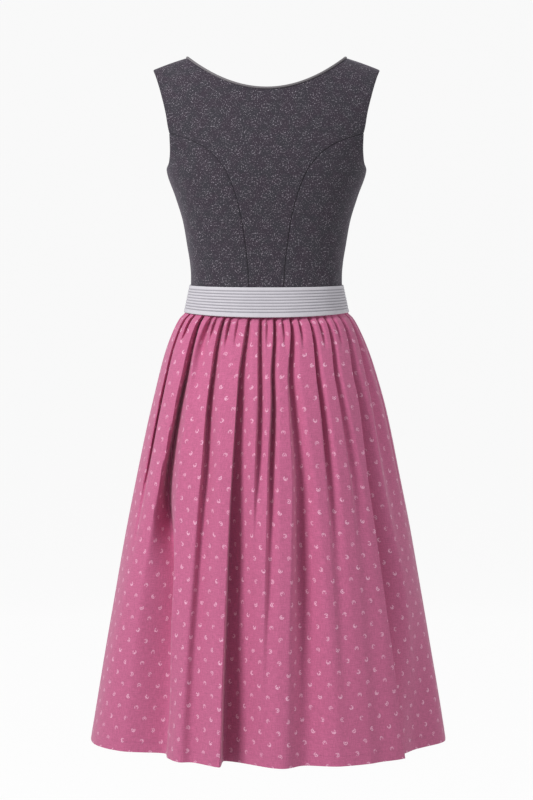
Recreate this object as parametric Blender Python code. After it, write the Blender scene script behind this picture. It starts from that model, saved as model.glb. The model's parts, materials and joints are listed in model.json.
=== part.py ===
"""A sleeveless dirndl dress, filled out as it is when it is worn, in thin walls of cloth.

Metres, +Z up. The origin lies midway between the shoulder seams, at the height where they meet the neckline.
The back of the dress faces +Y, its front -Y, and the wearer's right side is at -X.
A place on the dress is given by a bearing, in degrees round from the centre back towards the wearer's right
(180 is the centre front), and by a drop, the height that it lies below the origin.
"""

import math
from collections import namedtuple

import bmesh
import bpy
from mathutils import Vector

MM = 0.001

# ---- Cloth ----
BODICE_CLOTH = 1.6 * MM          # cotton with its lining
SKIRT_CLOTH = 1.3 * MM           # cotton, with its seam allowances
SEAM_GAP = 0.3 * MM              # between two pieces that are sewn together

# ---- Lengths down the dress, below the origin ----
SHOULDER_TIP_DROP = 0.0198
BAND_TOP_DROP = 0.3515
BAND_FOOT_DROP = 0.3932
HEM_DROP = 1.0600
BAND_OVERLAP = 8 * MM            # of the band over the top of the skirt
WAIST_SEAM_DROP = BAND_FOOT_DROP - BAND_OVERLAP
BAND_TOP_DIP = 1.2 * MM          # the band hangs this much lower at the centre than at the sides
BAND_FOOT_DIP = 4.5 * MM
SKIRT_LEAN = 3 * MM              # of the hem towards the wearer's right

# ---- Lengths across the dress, from its middle ----
SHOULDER_TIP_X = 0.1750
NECK_X = 0.1175
SHOULDER_FADE = 0.05             # the drops between which the shoulders' slope dies away
SHOULDER_LEVELLED = 0.30
BACK_NECK_DROP = 0.0456
FRONT_NECK_DROP = 0.1450
BACK_NECK_POWER = 2.0            # 2 is a parabola, more is a squarer neckline
FRONT_NECK_POWER = 2.7
SHOULDER_LEVEL = 0.0166          # how far the shoulder line would rise above the neck point at the middle

# ---- The bound neckline ----
BINDING_HEIGHT = 3.2 * MM
BINDING_PROUD = 0.5 * MM         # beyond each face of the panels

# ---- The band ----
BAND_THICK = 2.2 * MM
GROOVE_DEPTH = 0.8 * MM
GROOVES = 8
GROOVE_PITCH = 0.1007            # as a share of the band's height
FIRST_GROOVE = 0.134
GROOVE_HALF_WIDTH = 0.022

# ---- How round the cross-sections are: 2 is an ellipse, more is boxier ----
BACK_POWER = 2.45
FRONT_POWER = 2.25
SKIRT_POWER = 2.05

# ---- The bust of a general figure ----
BUST_X = 0.078
BUST_DROP = 0.2024
BUST_FULLNESS = 0.012
BUST_REACH = 0.045

# The outline of the dress, as level sections. Above the underarm the half width is that of the whole form,
# which the armholes then cut.
Section = namedtuple("Section", "drop half_width back front")
SECTIONS = (
    Section(0.0000, 0.2600, 0.0000, 0.0000),
    Section(0.0050, 0.2560, 0.0205, 0.0185),
    Section(0.0150, 0.2490, 0.0345, 0.0305),
    Section(0.0300, 0.2390, 0.0495, 0.0430),
    Section(0.0600, 0.2215, 0.0690, 0.0590),
    Section(0.1000, 0.1930, 0.0855, 0.0790),
    Section(0.1380, 0.1670, 0.0955, 0.1010),
    Section(0.1608, 0.1556, 0.0988, 0.1120),
    Section(0.1750, 0.1543, 0.1000, 0.1170),
    Section(0.2167, 0.1402, 0.0985, 0.1190),
    Section(0.2537, 0.1292, 0.0945, 0.1100),
    Section(0.2909, 0.1228, 0.0905, 0.0985),
    Section(0.3187, 0.1184, 0.0885, 0.0930),
    Section(0.3373, 0.1171, 0.0880, 0.0915),
    Section(0.3515, 0.1171, 0.0885, 0.0920),
    Section(0.3932, 0.1260, 0.0980, 0.1005),
    Section(0.4024, 0.1352, 0.1080, 0.1095),
    Section(0.4211, 0.1454, 0.1200, 0.1195),
    Section(0.4584, 0.1596, 0.1370, 0.1335),
    Section(0.5146, 0.1755, 0.1570, 0.1505),
    Section(0.5895, 0.1930, 0.1750, 0.1665),
    Section(0.7023, 0.2157, 0.1930, 0.1870),
    Section(0.8534, 0.2432, 0.2150, 0.2100),
    Section(1.0600, 0.2780, 0.2450, 0.2420),
)

# Seams and cut edges of one half of the bodice, from the band's top edge up: distance from the middle, and drop.
EdgePoint = namedtuple("EdgePoint", "across drop")
BACK_SEAM = (
    EdgePoint(0.0266, BAND_TOP_DROP),
    EdgePoint(0.0297, 0.3067),
    EdgePoint(0.0373, 0.2520),
    EdgePoint(0.0486, 0.2074),
    EdgePoint(0.0607, 0.1776),
    EdgePoint(0.0740, 0.1585),
    EdgePoint(0.0905, 0.1428),
    EdgePoint(0.1080, 0.1324),
    EdgePoint(0.1290, 0.1243),
    EdgePoint(0.1490, 0.1182),
)
BACK_ARMHOLE = (
    EdgePoint(0.1490, 0.1182),
    EdgePoint(0.1545, 0.0873),
    EdgePoint(0.1612, 0.0597),
    EdgePoint(0.1697, 0.0321),
    EdgePoint(SHOULDER_TIP_X, SHOULDER_TIP_DROP),
)
BACK_UNDERARM = (
    EdgePoint(0.1490, 0.1182),
    EdgePoint(0.1483, 0.1300),
    EdgePoint(0.1482, 0.1430),
    EdgePoint(0.1494, 0.1558),
    EdgePoint(0.1517, 0.1657),
    EdgePoint(0.1544, 0.1732),
)
FRONT_SEAM = (
    EdgePoint(0.0485, BAND_TOP_DROP),
    EdgePoint(0.0505, 0.3266),
    EdgePoint(0.0560, 0.2967),
    EdgePoint(0.0680, 0.2520),
    EdgePoint(0.0785, 0.2123),
    EdgePoint(0.0860, 0.1826),
    EdgePoint(0.0980, 0.1578),
    EdgePoint(0.1130, 0.1400),
    EdgePoint(0.1290, 0.1272),
    EdgePoint(0.1435, 0.1183),
)
FRONT_ARMHOLE = (
    EdgePoint(0.1435, 0.1183),
    EdgePoint(0.1470, 0.0873),
    EdgePoint(0.1560, 0.0597),
    EdgePoint(0.1675, 0.0321),
    EdgePoint(SHOULDER_TIP_X, SHOULDER_TIP_DROP),
)
FRONT_UNDERARM = (
    EdgePoint(0.1435, 0.1183),
    EdgePoint(0.1432, 0.1331),
    EdgePoint(0.1455, 0.1479),
    EdgePoint(0.1500, 0.1618),
    EdgePoint(0.1544, 0.1732),
)
SIDE_SEAM_TOP = 0.1732

# Steps of the bodice's grids of points.
SEAM_STEPS = 9                   # up a curved seam or a side seam, waist to armhole
ARMHOLE_STEPS = 5                # up the armhole, curved seam to shoulder
BACK_NECK_STEPS = 14
FRONT_NECK_STEPS = 8
SIDE_PANEL_STEPS = 6
FRONT_PANEL_STEPS = 4            # also the steps along each shoulder seam
BAND_STEPS = 64

# The skirt's gathers. Each row is one valley between two gathers: its bearings at the band, at the distances in
# TURNS below it and at the hem, how deep it is in mm below the ridges at the collar, hip, knee and hem, and how wide
# its two flanks are at the hem in mm. A valley with no depth at the hip has smoothed out soon below the band.
Gather = namedtuple("Gather", "bearing high_bearing low_bearing hem_bearing collar hip knee hem left right")
COLLAR, HIP, KNEE = 0.030, 0.150, 0.390      # distances below the band where those depths hold
SHORT_COLLAR, SHORT_REACH = 0.008, 0.055     # and where they hold for the short ones
TURNS = (0.100, 0.260)
SKIRT_LENGTH = HEM_DROP - BAND_FOOT_DROP
COLLAR_LEFT, COLLAR_RIGHT = 6.0, 7.0          # mm, the flanks of every valley at the band
LEAST_FLANK = 14                              # mm at the hem, so that the wall stays clear of itself
GATHER_START, GATHER_RISE = -0.006, 0.012     # below the band, where the valleys start and where they are deep
MOST_FLANK = 0.42                             # of the way to the next valley, for the columns at a flank's end
BACK_GATHERS = (
    Gather(-82, -81, -80, -79, 4, 0, 0, 0, 9, 12),
    Gather(-70, -68, -67, -66, 9, 6, 0, 0, 12, 14),
    Gather(-61, -59, -58, -57, 8, 0, 0, 0, 8, 8),
    Gather(-50, -47.5, -47, -48, 14, 23, 36, 24, 60, 44),
    Gather(-41, -38.5, -40, -44, 10, 4, 12, 37, 160, 130),
    Gather(-36, -34, -33, -32, 7, 0, 0, 0, 8, 8),
    Gather(-30, -29, -26.5, -22.5, 13, 18, 15, 18, 30, 44),
    Gather(-25, -23, -21.5, -19.5, 10, 0, 0, 0, 8, 10),
    Gather(-19, -18, -17.5, -17, 6, 0, 0, 0, 8, 8),
    Gather(-12, -14, -14.5, -13, 15, 22, 38, 54, 8, 75),
    Gather(-4, -4, -4.5, -5, 14, 15, 2, 0, 10, 30),
    Gather(0.5, 0, -1.5, -2.5, 6, 0, 0, 0, 6, 6),
    Gather(5.5, 2.5, 1, -1, 15, 20, 8, 0, 10, 22),
    Gather(11, 10, 9, 8, 8, 0, 0, 0, 8, 8),
    Gather(17, 12.5, 14.2, 12, 16, 18, 28, 20, 34, 52),
    Gather(22.5, 20, 20, 18, 9, 0, 0, 0, 8, 8),
    Gather(30.5, 27.5, 27.5, 26, 17, 16, 4, 0, 16, 28),
    Gather(37, 34, 33.5, 32, 10, 0, 0, 0, 8, 8),
    Gather(44, 39, 40, 38, 15, 10, 2, 3, 24, 34),
    Gather(51, 45, 44.5, 44, 7, 0, 0, 0, 8, 8),
    Gather(60, 52, 49, 49.3, 17, 24, 36, 24, 7, 90),
    Gather(73, 67, 66, 66, 12, 10, 3, 24, 70, 80),
    Gather(82, 80, 79, 78, 6, 4, 0, 0, 9, 9),
)
FRONT_GATHERS = (
    Gather(98, 99, 100, 101, 9, 8, 3, 0, 12, 16),
    Gather(106, 109, 111, 112, 13, 20, 28, 36, 60, 10),
    Gather(115, 116, 117.5, 119, 8, 0, 0, 0, 8, 8),
    Gather(123, 124, 125, 126, 12, 10, 4, 0, 16, 16),
    Gather(131, 131, 131.5, 132, 8, 0, 0, 0, 8, 8),
    Gather(138, 137.5, 137, 137, 14, 22, 32, 38, 40, 24),
    Gather(146, 146, 145.5, 145, 9, 4, 0, 0, 10, 10),
    Gather(153, 152.5, 152, 152, 14, 17, 9, 5, 18, 26),
    Gather(160, 160, 159.5, 159, 8, 0, 0, 0, 8, 8),
    Gather(167, 166.5, 167, 166, 15, 20, 26, 28, 48, 14),
    Gather(174, 174, 173.5, 173, 9, 4, 0, 0, 8, 8),
    Gather(180, 180, 180, 180, 8, 9, 3, 0, 12, 12),
    Gather(187, 187, 187, 187, 14, 18, 10, 5, 14, 26),
    Gather(194, 194, 194, 194, 8, 0, 0, 0, 8, 8),
    Gather(201, 202, 202.5, 203, 15, 22, 36, 46, 10, 58),
    Gather(208, 209, 209.5, 210, 9, 3, 0, 0, 10, 10),
    Gather(216, 216, 216.5, 217, 13, 14, 7, 3, 16, 22),
    Gather(223, 223, 223.5, 224, 8, 0, 0, 0, 8, 8),
    Gather(231, 232, 233, 234, 15, 20, 28, 32, 50, 14),
    Gather(240, 240, 240.5, 241, 8, 0, 0, 0, 8, 8),
    Gather(248, 248, 248.5, 249, 12, 13, 8, 6, 20, 26),
    Gather(260, 260, 259.5, 259, 9, 8, 3, 0, 12, 16),
)
SKIRT_ROWS = (0.0005, 0.0045, 0.011, 0.021, 0.036, 0.060, 0.100, 0.150, 0.215, 0.295, 0.385, 0.475, 0.570,
              SKIRT_LENGTH)      # distances below the band's foot


def column_curve(column):
    """A smooth curve through one column of SECTIONS, as a function of the drop, with no overshoot."""
    at = [math.sqrt(row.drop) for row in SECTIONS]
    values = [getattr(row, column) for row in SECTIONS]
    slopes = [(values[i + 1] - values[i]) / (at[i + 1] - at[i]) for i in range(len(at) - 1)]
    tangents = [slopes[0]]
    for before, after in zip(slopes, slopes[1:]):
        turning = before * after <= 0
        tangents.append(0.0 if turning else 2 * before * after / (before + after))
    tangents.append(slopes[-1])

    def curve(drop):
        place = math.sqrt(max(drop, 0.0))
        i = 0
        while i < len(at) - 2 and place > at[i + 1]:
            i += 1
        span = at[i + 1] - at[i]
        t = (place - at[i]) / span
        return (values[i] * (1 + 2 * t) * (1 - t) ** 2 + tangents[i] * span * t * (1 - t) ** 2
                + values[i + 1] * t * t * (3 - 2 * t) + tangents[i + 1] * span * t * t * (t - 1))

    return curve


half_width = column_curve("half_width")
back_depth = column_curve("back")
front_depth = column_curve("front")


def mix(first, second, share):
    return first + (second - first) * share


def clamp(value, low=0.0, high=1.0):
    return max(low, min(high, value))


def smooth_step(value):
    share = clamp(value)
    return share * share * (3 - 2 * share)


def shoulder_fall(across, drop):
    """How far the shoulder line lies below the neck point, a distance across from the middle."""
    slope = (SHOULDER_TIP_DROP + SHOULDER_LEVEL) * (across / SHOULDER_TIP_X) ** 2 - SHOULDER_LEVEL
    return slope * smooth_step((SHOULDER_LEVELLED - drop) / (SHOULDER_LEVELLED - SHOULDER_FADE))


def section_power(at_front, drop):
    bodice = FRONT_POWER if at_front else BACK_POWER
    return mix(bodice, SKIRT_POWER, smooth_step((drop - BAND_TOP_DROP) / (HIP * 0.6)))


def wall_point(bearing, root):
    """A point of the outer surface. root is the square root of the distance below the shoulder line, which keeps
    the points evenly spaced where the cloth turns over the shoulder."""
    turn = math.radians(bearing)
    at_front = math.cos(turn) < 0
    side = min(abs(math.sin(turn)), 1.0)
    below = root * root
    drop = below
    for _ in range(8):
        across = half_width(drop) * side
        drop = below + shoulder_fall(across, drop)
    power = section_power(at_front, drop)
    roundness = max(1 - side ** power, 0.0) ** (1 / power)
    if at_front:
        bust = BUST_FULLNESS * math.exp(-((across - BUST_X) / BUST_REACH) ** 2
                                        - ((drop - BUST_DROP) / BUST_REACH) ** 2)
        y = -front_depth(below) * roundness - bust * (1 - side ** 6)
    else:
        y = back_depth(below) * roundness
    return Vector((-math.copysign(across, math.sin(turn)), y, -drop))


def surface_normal(surface, bearing, root):
    """The outward normal of a surface of (bearing, root), from points a little way round and down."""
    round_step, down_step = 0.25, 0.002
    ahead = surface(bearing + round_step, root)
    behind = surface(bearing - round_step, root)
    below = surface(bearing, root + down_step)
    above = surface(bearing, max(root - down_step, 0.0))
    return (ahead - behind).cross(above - below).normalized()


def place(across, drop, at_front, right_side=True):
    """The (bearing, root) of a point of the bodice that lies a distance across at a drop."""
    bearing = math.degrees(math.asin(min(across / half_width(drop), 1.0)))
    if at_front:
        bearing = 180 - bearing
    root = math.sqrt(max(drop - shoulder_fall(across, drop), 0.0))
    return (bearing if right_side else -bearing, root)


def smooth_path(points, steps):
    """Even steps along a smooth curve through points, each a (bearing, root)."""
    fine = []
    ends = [points[0]] + list(points) + [points[-1]]
    for p0, p1, p2, p3 in zip(ends, ends[1:], ends[2:], ends[3:]):
        for i in range(12):
            t = i / 12
            fine.append(tuple(0.5 * (2 * b + (c - a) * t + (2 * a - 5 * b + 4 * c - d) * t * t
                                     + (3 * b - a - 3 * c + d) * t ** 3)
                              for a, b, c, d in zip(p0, p1, p2, p3)))
    fine.append(tuple(points[-1]))
    metres_per_degree, metres_per_root = 0.0025, 0.8
    lengths = [0.0]
    for one, two in zip(fine, fine[1:]):
        lengths.append(lengths[-1] + math.hypot((two[0] - one[0]) * metres_per_degree,
                                                (two[1] - one[1]) * metres_per_root))
    path = []
    i = 0
    for step in range(steps + 1):
        wanted = lengths[-1] * step / steps
        while i < len(fine) - 2 and lengths[i + 1] < wanted:
            i += 1
        share = clamp((wanted - lengths[i]) / (lengths[i + 1] - lengths[i]))
        path.append(tuple(mix(a, b, share) for a, b in zip(fine[i], fine[i + 1])))
    return path


def edge_path(rows, at_front, right_side, steps):
    return smooth_path([place(row.across, row.drop, at_front, right_side) for row in rows], steps)


def fill_patch(bottom, top, left, right, top_from=0):
    """A grid of (bearing, root) places between four edges, rows from the bottom up. The top edge's shape fades in
    above the row top_from."""
    rows, columns = len(left) - 1, len(bottom) - 1
    grid = []
    for j in range(rows + 1):
        low = 1 - j / rows
        high = clamp((j - top_from) / (rows - top_from))
        row = []
        for i in range(columns + 1):
            along = i / columns
            row.append(tuple(
                mix(left[j][k], right[j][k], along)
                + low * (bottom[i][k] - mix(bottom[0][k], bottom[-1][k], along))
                + high * (top[i][k] - mix(top[0][k], top[-1][k], along))
                for k in (0, 1)))
        grid.append(row)
    return grid


def raise_grid(grid, surface, thickness):
    """The outer and inner points of a wall over a grid of places."""
    outer, inner = [], []
    for row in grid:
        outer.append([surface(*spot) for spot in row])
        inner.append([point - surface_normal(surface, *spot) * thickness
                      for point, spot in zip(outer[-1], row)])
    return outer, inner


def ease_edges(outer, inner, sides):
    """Draw the named edges of a wall back by half a seam gap, square to the seam."""
    rows, columns = len(outer) - 1, len(outer[0]) - 1
    moves = {}
    for side in sides:
        upright = side in ("left", "right")
        count = rows if upright else columns
        for k in range(count + 1):
            before, after = max(k - 1, 0), min(k + 1, count)
            if upright:
                edge, near = (0, 1) if side == "left" else (columns, columns - 1)
                spot, inside = (k, edge), (k, near)
                tangent = outer[after][edge] - outer[before][edge]
            else:
                edge, near = (0, 1) if side == "bottom" else (rows, rows - 1)
                spot, inside = (edge, k), (near, k)
                tangent = outer[edge][after] - outer[edge][before]
            inward = outer[inside[0]][inside[1]] - outer[spot[0]][spot[1]]
            inward -= inward.project(tangent)
            moves[spot] = moves.get(spot, Vector()) + inward.normalized() * (SEAM_GAP / 2)
    for (j, i), move in moves.items():
        outer[j][i] = outer[j][i] + move
        inner[j][i] = inner[j][i] + move


def make_material(name, colour, roughness, sheen=0.0):
    material = bpy.data.materials.new(name)
    material.use_nodes = True
    shader = material.node_tree.nodes["Principled BSDF"]
    shader.inputs["Base Color"].default_value = (*colour, 1.0)
    shader.inputs["Roughness"].default_value = roughness
    shader.inputs["Metallic"].default_value = 0.0
    shader.inputs["Sheen Weight"].default_value = sheen
    material.diffuse_color = (*colour, 1.0)
    return material


def add_object(name, mesh_faces, points, material):
    """One closed piece from its points and faces, shaded smooth but for its cut edges."""
    work = bmesh.new()
    corners = [work.verts.new(point) for point in points]
    for face in mesh_faces:
        work.faces.new([corners[i] for i in face])
    mesh = bpy.data.meshes.new(name)
    work.to_mesh(mesh)
    work.free()
    mesh.shade_smooth()
    mesh.set_sharp_from_angle(angle=math.radians(50))
    mesh.materials.append(material)
    piece = bpy.data.objects.new(name, mesh)
    bpy.context.scene.collection.objects.link(piece)
    return piece


def add_wall(name, outer, inner, material):
    """A sheet of cloth from its outer and inner points. The outer points run to the wearer's right in each row,
    rows from the bottom up, and both faces are split along the same diagonals."""
    rows, columns = len(outer) - 1, len(outer[0]) - 1
    points = [point for grid in (outer, inner) for row in grid for point in row]
    inside = (rows + 1) * (columns + 1)

    def index(j, i):
        return j * (columns + 1) + i

    faces = []
    for j in range(rows):
        for i in range(columns):
            a, b, c, d = index(j, i), index(j, i + 1), index(j + 1, i + 1), index(j + 1, i)
            halves = ((a, b, c), (a, c, d)) if (i + j) % 2 else ((a, b, d), (b, c, d))
            for half in halves:
                faces.append(half)
                faces.append(tuple(inside + k for k in reversed(half)))
    rim = ([index(0, i) for i in range(columns)] + [index(j, columns) for j in range(rows)]
           + [index(rows, i) for i in range(columns, 0, -1)] + [index(j, 0) for j in range(rows, 0, -1)])
    for one, two in zip(rim, rim[1:] + rim[:1]):
        faces.append((two, one, one + inside))
        faces.append((two, one + inside, two + inside))
    return add_object(name, faces, points, material)


def add_strip(name, loops, material):
    """A long piece from its cross-sections, one after the other, with closed ends."""
    size = len(loops[0])
    points = [point for loop in loops for point in loop]
    faces = []
    for i in range(len(loops) - 1):
        for k in range(size):
            a, b = i * size + k, i * size + (k + 1) % size
            faces.append((a, a + size, b))
            faces.append((b, a + size, b + size))
    faces.append(tuple(range(size)))
    faces.append(tuple(reversed(range((len(loops) - 1) * size, len(loops) * size))))
    return add_object(name, faces, points, material)


# ---- Bodice ----

def waist_line(start, end, steps):
    """Even steps along the waist seam between two bearings. It dips at the centre back and the centre front."""
    line = []
    for i in range(steps + 1):
        bearing = mix(start, end, i / steps)
        line.append((bearing, math.sqrt(WAIST_SEAM_DROP + waist_dip(bearing))))
    return line


def waist_dip(bearing):
    return mix(BAND_TOP_DIP, BAND_FOOT_DIP, 0.8) * math.cos(math.radians(bearing)) ** 2


def neckline_place(angle, at_front, right_side=True):
    """A place on the panels' neck edge. angle runs from 0 at the middle to 90 at the shoulder seam."""
    widest = NECK_X + BINDING_HEIGHT
    lowest = (FRONT_NECK_DROP if at_front else BACK_NECK_DROP) + BINDING_HEIGHT
    power = FRONT_NECK_POWER if at_front else BACK_NECK_POWER
    share = math.sin(math.radians(angle))
    across = widest * share
    drop = mix(shoulder_fall(widest, 0.0), lowest, 1 - share ** power)
    return place(across, drop, at_front, right_side)


def shoulder_places(at_front, right_side):
    """Places along the shoulder seam, from its tip to the neck, without the neck point."""
    line = []
    for i in range(FRONT_PANEL_STEPS):
        across = mix(SHOULDER_TIP_X, NECK_X + BINDING_HEIGHT, i / FRONT_PANEL_STEPS)
        bearing, _ = place(across, shoulder_fall(across, 0.0), at_front, right_side)
        line.append((bearing, 0.0))
    return line


def from_waist(path):
    """A path that starts at the band's top edge, carried down under the band to the waist seam."""
    bearing = path[0][0]
    return [(bearing, math.sqrt(WAIST_SEAM_DROP + waist_dip(bearing)))] + path


def curved_seam(seam, at_front, right_side):
    return from_waist(edge_path(seam, at_front, right_side, SEAM_STEPS - 1))


def panel_side(seam, armhole, at_front, right_side):
    """The edge of a centre panel: up its curved seam, then up the armhole to the shoulder."""
    return curved_seam(seam, at_front, right_side) + edge_path(armhole, at_front, right_side, ARMHOLE_STEPS)[1:]


def make_back_centre(material):
    left = panel_side(BACK_SEAM, BACK_ARMHOLE, False, False)
    right = panel_side(BACK_SEAM, BACK_ARMHOLE, False, True)
    neck = [neckline_place(abs(angle), False, angle > 0)
            for angle in (mix(-90, 90, i / BACK_NECK_STEPS) for i in range(BACK_NECK_STEPS + 1))]
    top = shoulder_places(False, False) + neck + list(reversed(shoulder_places(False, True)))
    bottom = waist_line(left[0][0], right[0][0], len(top) - 1)
    grid = fill_patch(bottom, top, left, right, SEAM_STEPS)
    outer, inner = raise_grid(grid, wall_point, BODICE_CLOTH)
    ease_edges(outer, inner, ("left", "right", "bottom", "top"))
    add_wall("bodice_back_centre", outer, inner, material)


def side_seam():
    low = math.sqrt(BAND_TOP_DROP)
    high = math.sqrt(SIDE_SEAM_TOP - shoulder_fall(half_width(SIDE_SEAM_TOP), SIDE_SEAM_TOP))
    steps = SEAM_STEPS - 1
    return from_waist([(90, mix(low, high, i / steps)) for i in range(steps + 1)])


def make_side_panel(name, at_front, right_side, material):
    """A side panel, from its curved seam to the side seam, its top cut by the armhole."""
    seam, underarm = (FRONT_SEAM, FRONT_UNDERARM) if at_front else (BACK_SEAM, BACK_UNDERARM)
    curved = curved_seam(seam, at_front, True)
    straight = side_seam()
    top = edge_path(underarm, at_front, True, SIDE_PANEL_STEPS)
    top[-1] = straight[-1]
    bottom = waist_line(curved[0][0], straight[0][0], SIDE_PANEL_STEPS)
    grid = fill_patch(bottom, top, curved, straight)
    if not right_side:
        grid = [[(-bearing, root) for bearing, root in row] for row in grid]
    if at_front == right_side:
        grid = [list(reversed(row)) for row in grid]
    outer, inner = raise_grid(grid, wall_point, BODICE_CLOTH)
    ease_edges(outer, inner, ("left", "right", "bottom"))
    add_wall(name, outer, inner, material)


def make_front(name, right_side, material):
    """A front panel, from the curved front seam to the centre front, where the dress opens, and the neckline."""
    seam_edge = panel_side(FRONT_SEAM, FRONT_ARMHOLE, True, True)
    middle_steps = SEAM_STEPS + ARMHOLE_STEPS - FRONT_NECK_STEPS - 1
    neck = [neckline_place(mix(0, 90, i / FRONT_NECK_STEPS), True) for i in range(FRONT_NECK_STEPS + 1)]
    low = math.sqrt(BAND_TOP_DROP + BAND_TOP_DIP)
    middle = from_waist([(180.0, mix(low, neck[0][1], i / middle_steps)) for i in range(middle_steps)]) + neck
    top = shoulder_places(True, True) + [neck[-1]]
    bottom = waist_line(seam_edge[0][0], 180, FRONT_PANEL_STEPS)
    grid = fill_patch(bottom, top, seam_edge, middle, SEAM_STEPS)
    if not right_side:
        grid = [[(360 - bearing, root) for bearing, root in reversed(row)] for row in grid]
    outer, inner = raise_grid(grid, wall_point, BODICE_CLOTH)
    ease_edges(outer, inner, ("left", "right", "bottom", "top"))
    add_wall(name, outer, inner, material)


def make_neck_binding(material):
    """A narrow strip folded over the neck edge, from the centre front round the back to the centre front."""
    angles_front = [mix(0, 90, i / FRONT_NECK_STEPS) for i in range(FRONT_NECK_STEPS)]
    angles_back = [mix(-90, 90, i / BACK_NECK_STEPS) for i in range(BACK_NECK_STEPS + 1)]
    spots = [neckline_place(angle, True, False) for angle in angles_front]
    spots += [neckline_place(abs(angle), False, angle > 0) for angle in angles_back]
    spots += [neckline_place(angle, True, True) for angle in reversed(angles_front)]
    path = [wall_point(*spot) for spot in spots]
    height, proud, cloth = BINDING_HEIGHT, BINDING_PROUD, BODICE_CLOTH
    profile = ((SEAM_GAP / 2, proud), (height * 0.6, proud * 1.3), (height, 0.0), (height, -cloth),
               (height * 0.6, -cloth - proud * 1.3), (SEAM_GAP / 2, -cloth - proud))
    loops = []
    for i, (spot, point) in enumerate(zip(spots, path)):
        tangent = (path[min(i + 1, len(path) - 1)] - path[max(i - 1, 0)]).normalized()
        if i in (0, len(path) - 1):
            tangent = Vector((1.0, 0.0, 0.0))
            point = point + tangent * (SEAM_GAP / 2 if i == 0 else -SEAM_GAP / 2)
        normal = surface_normal(wall_point, *spot)
        upward = normal.cross(tangent).normalized()
        loops.append([point + upward * up + normal * out for up, out in profile])
    add_strip("neck_binding", loops, material)


# ---- Band ----

def band_drops(bearing):
    """The drops of the band's top edge and of its foot."""
    dip = math.cos(math.radians(bearing)) ** 2
    return BAND_TOP_DROP + BAND_TOP_DIP * dip, BAND_FOOT_DROP + BAND_FOOT_DIP * dip


def band_bed(bearing, root):
    """A point of the surface that the stiff band lies on, which is straight from its top edge to its foot."""
    top, foot = band_drops(bearing)
    share = (root * root - top) / (foot - top)
    return mix(wall_point(bearing, math.sqrt(top)), wall_point(bearing, math.sqrt(foot)), share)


def make_waistband(material):
    """The stitched belt band: a flat inside, and an outside with a groove along each row of stitching."""
    profile = [(1.0, SEAM_GAP), (0.0, SEAM_GAP), (0.0, BAND_THICK - GROOVE_DEPTH * 0.6)]
    crest = SEAM_GAP + BAND_THICK
    profile.append((0.03, crest))
    for groove in range(GROOVES):
        middle = FIRST_GROOVE + groove * GROOVE_PITCH
        profile += [(middle - GROOVE_HALF_WIDTH, crest), (middle, crest - GROOVE_DEPTH),
                    (middle + GROOVE_HALF_WIDTH, crest)]
    profile += [(0.97, crest), (1.0, BAND_THICK - GROOVE_DEPTH * 0.6)]
    loops = []
    for i in range(BAND_STEPS + 1):
        bearing = mix(-180, 180, i / BAND_STEPS)
        ease = Vector()
        if i in (0, BAND_STEPS):
            ease.x = SEAM_GAP / 2 if i == 0 else -SEAM_GAP / 2
        loop = []
        for down, out in reversed(profile):
            root = math.sqrt(mix(*band_drops(bearing), down))
            loop.append(band_bed(bearing, root) + surface_normal(band_bed, bearing, root) * out + ease)
        loops.append(loop)
    add_strip("waistband", loops, material)


# ---- Skirt ----

def depth_at(gather, below):
    """Depth of a valley, in metres, a distance below the band."""
    collar, hip = (COLLAR, HIP) if gather.hip else (SHORT_COLLAR, SHORT_REACH)
    stations = ((collar, gather.collar), (hip, gather.hip), (KNEE, gather.knee), (SKIRT_LENGTH, gather.hem))
    rise = smooth_step((below - GATHER_START) / (GATHER_RISE - GATHER_START))
    depth = stations[0][1]
    for (one, shallow), (two, deep) in zip(stations, stations[1:]):
        if below > one:
            depth = mix(shallow, deep, smooth_step((below - one) / (two - one)))
    return depth * rise * MM


def bearing_at(gather, below):
    high, low = TURNS
    bearing = mix(gather.bearing, gather.high_bearing, smooth_step(below / high))
    bearing = mix(bearing, gather.low_bearing, smooth_step((below - high) / (low - high)))
    return mix(bearing, gather.hem_bearing, clamp((below - low) / (SKIRT_LENGTH - low)))


def flanks_at(gather, below):
    """How far a valley reaches to its left and to its right, in degrees, a distance below the band."""
    drop = BAND_FOOT_DROP + below
    mean_radius = (2 * half_width(drop) + back_depth(drop) + front_depth(drop)) / 4
    spread = clamp(below / SKIRT_LENGTH)
    return [math.degrees(mix(narrow, max(wide, LEAST_FLANK), spread) * MM / mean_radius)
            for narrow, wide in ((COLLAR_LEFT, gather.left), (COLLAR_RIGHT, gather.right))]


def skirt_fold(bearing, below, gathers):
    """How far the cloth lies in from the ridges, at a bearing and a distance below the band."""
    fold = 0.0
    for gather in gathers:
        left, right = flanks_at(gather, below)
        away = bearing - bearing_at(gather, below)
        fold += depth_at(gather, below) * smooth_step(1 + away / left if away < 0 else 1 - away / right)
    return fold


def skirt_surface(gathers):
    """The skirt's outer surface, as a function of bearing and the square root of the drop."""
    def surface(bearing, root):
        drop = root * root
        dip = mix(BAND_FOOT_DIP * math.cos(math.radians(bearing)) ** 2, 0.0,
                  smooth_step((drop - BAND_FOOT_DROP) / HIP))
        point = wall_point(bearing, math.sqrt(drop))
        below = drop - BAND_FOOT_DROP
        if below > GATHER_START:
            outward = Vector((point.x, point.y, 0.0)).normalized()
            point = point - outward * skirt_fold(bearing, below, gathers)
        lean = SKIRT_LEAN * smooth_step(below / HIP)
        return point - Vector((lean, 0.0, dip))
    return surface


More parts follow.
